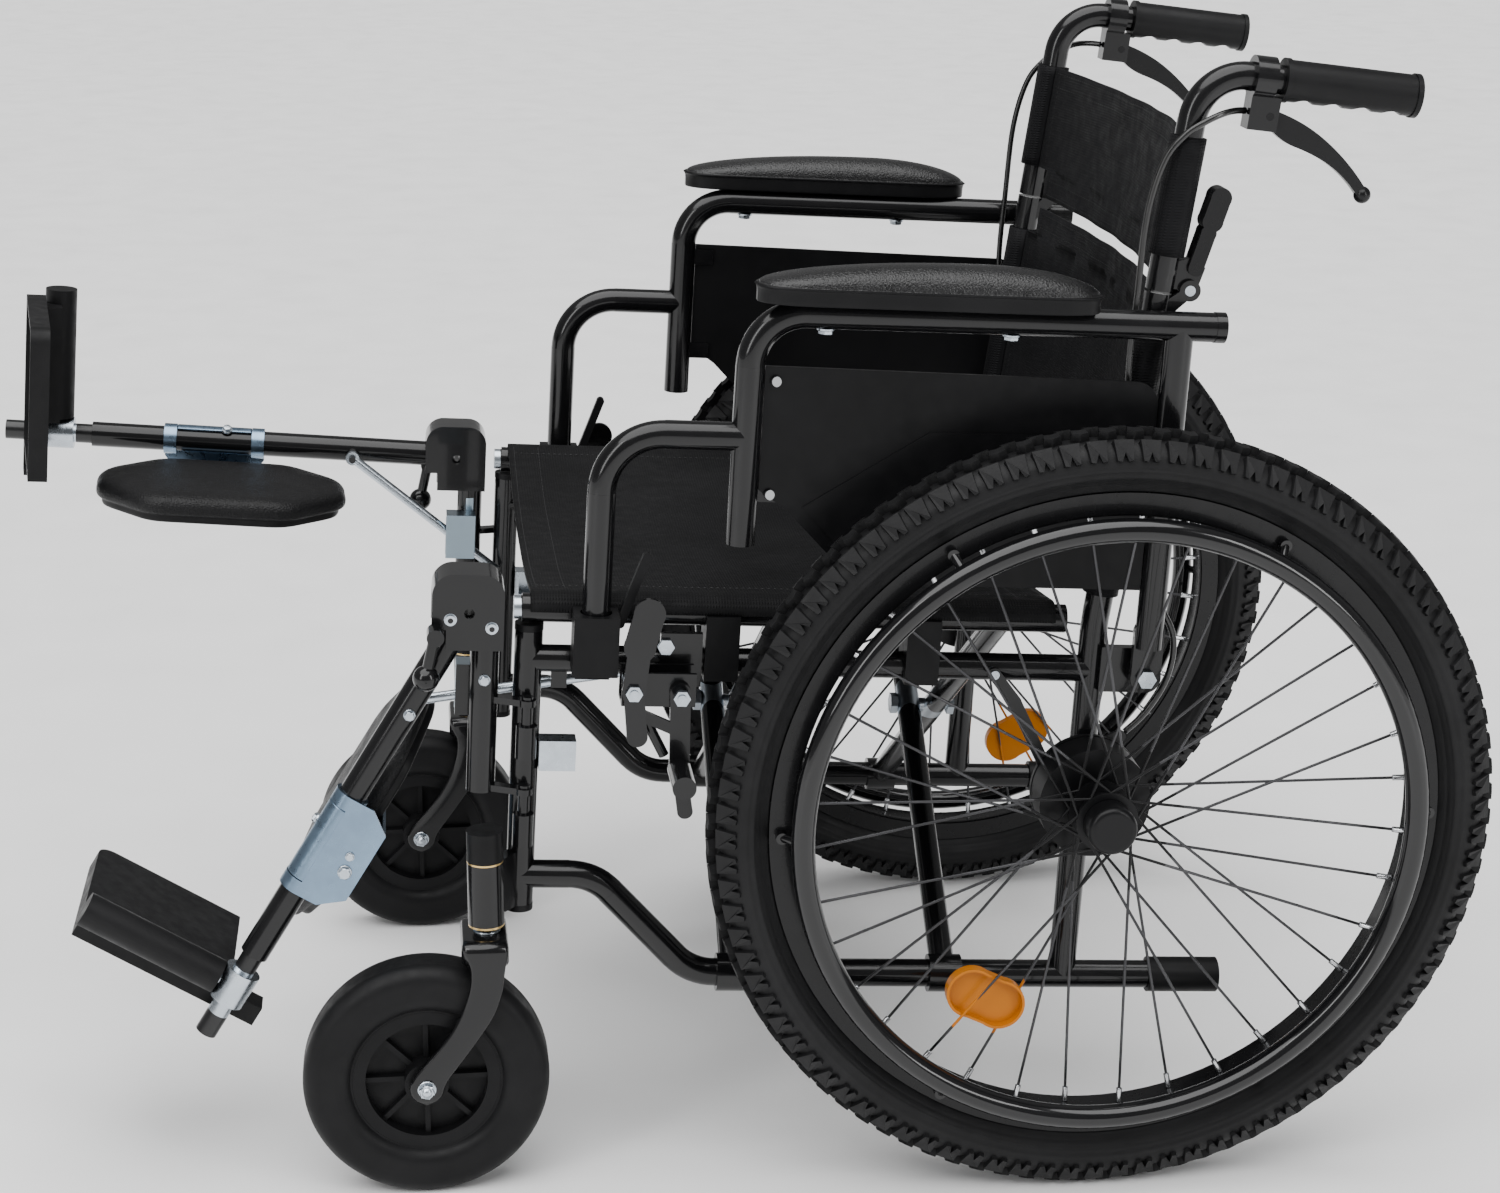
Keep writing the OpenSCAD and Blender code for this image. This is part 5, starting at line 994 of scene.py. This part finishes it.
# place, width, height and power
PANELS = {"front_left": ((2.4, -2.6, 2.0), 0.7, 2.4, 40), "rear_left": ((2.6, 2.4, 1.7), 0.6, 2.2, 35)}
IMAGE_W, IMAGE_H = 1500, 1193
FOCAL_PX, MIDDLE_PX, SENSOR = 2877.15, (754.02, 569.05), 36.0
CAMERA_AT = (2.310, -0.510 + AXLE_Y, 1.1012)
CAMERA_YAW, CAMERA_PITCH, CAMERA_ROLL = (math.radians(v) for v in (6.880, 16.376, 0.275))
# right, down and forward of a camera that looks straight across the chair from its left side
SIDE_VIEW = Matrix(((0, 1, 0), (0, 0, -1), (-1, 0, 0)))


def place_object(name, data):
    ob = bpy.data.objects.new(name, data)
    bpy.context.collection.objects.link(ob)
    return ob


def turned(angle, i, j):
    """A turn in the plane of two axes."""
    m = Matrix.Identity(3)
    m[i][i] = m[j][j] = math.cos(angle)
    m[i][j], m[j][i] = -math.sin(angle), math.sin(angle)
    return m


floor_mat = plain("studio_floor", (0.93, 0.93, 0.93), rough=0.6, vary=0.01, broad=1.5, fine=30, depth=0.0001,
                  strength=0.02)
me = bpy.data.meshes.new("floor")
me.from_pydata([(x * FLOOR_HALF, y * FLOOR_HALF, 0) for x, y in ((-1, -1), (1, -1), (1, 1), (-1, 1))], [],
               [(0, 1, 2, 3)])
me.materials.append(floor_mat)
floor = place_object("floor", me)

world = bpy.data.worlds.new("studio")
bpy.context.scene.world = world
world.use_nodes = True
sky = world.node_tree.nodes["Background"].inputs
sky["Color"].default_value = (1, 1, 1, 1)
sky["Strength"].default_value = SKY_STRENGTH

sun = bpy.data.lights.new("sky_panel", "SUN")
sun.energy = SUN_STRENGTH
sun.angle = SUN_SPREAD
place_object("sky_panel", sun).rotation_euler = SUN_TURN

for name, (place, wide, high, power) in PANELS.items():
    light = bpy.data.lights.new(name, "AREA")
    light.shape = "RECTANGLE"
    light.size, light.size_y, light.energy = wide, high, power
    ob = place_object(name, light)
    ob.location = place
    ob.rotation_euler = (Vector(LIGHT_TARGET) - Vector(place)).to_track_quat("-Z", "Y").to_euler()

cam = bpy.data.cameras.new("photo_camera")
cam.sensor_fit = "HORIZONTAL"
cam.sensor_width = SENSOR
cam.lens = FOCAL_PX / IMAGE_W * SENSOR
cam.shift_x = (IMAGE_W / 2 - MIDDLE_PX[0]) / IMAGE_W
cam.shift_y = (MIDDLE_PX[1] - IMAGE_H / 2) / IMAGE_W
camera = place_object("photo_camera", cam)
view = turned(CAMERA_ROLL, 0, 1) @ turned(CAMERA_PITCH, 1, 2) @ turned(CAMERA_YAW, 0, 2) @ SIDE_VIEW
right, down, forward = view
rotation = Matrix((right, -down, -forward)).transposed()
camera.matrix_world = Matrix.Translation(CAMERA_AT) @ rotation.to_4x4()
bpy.context.scene.camera = camera
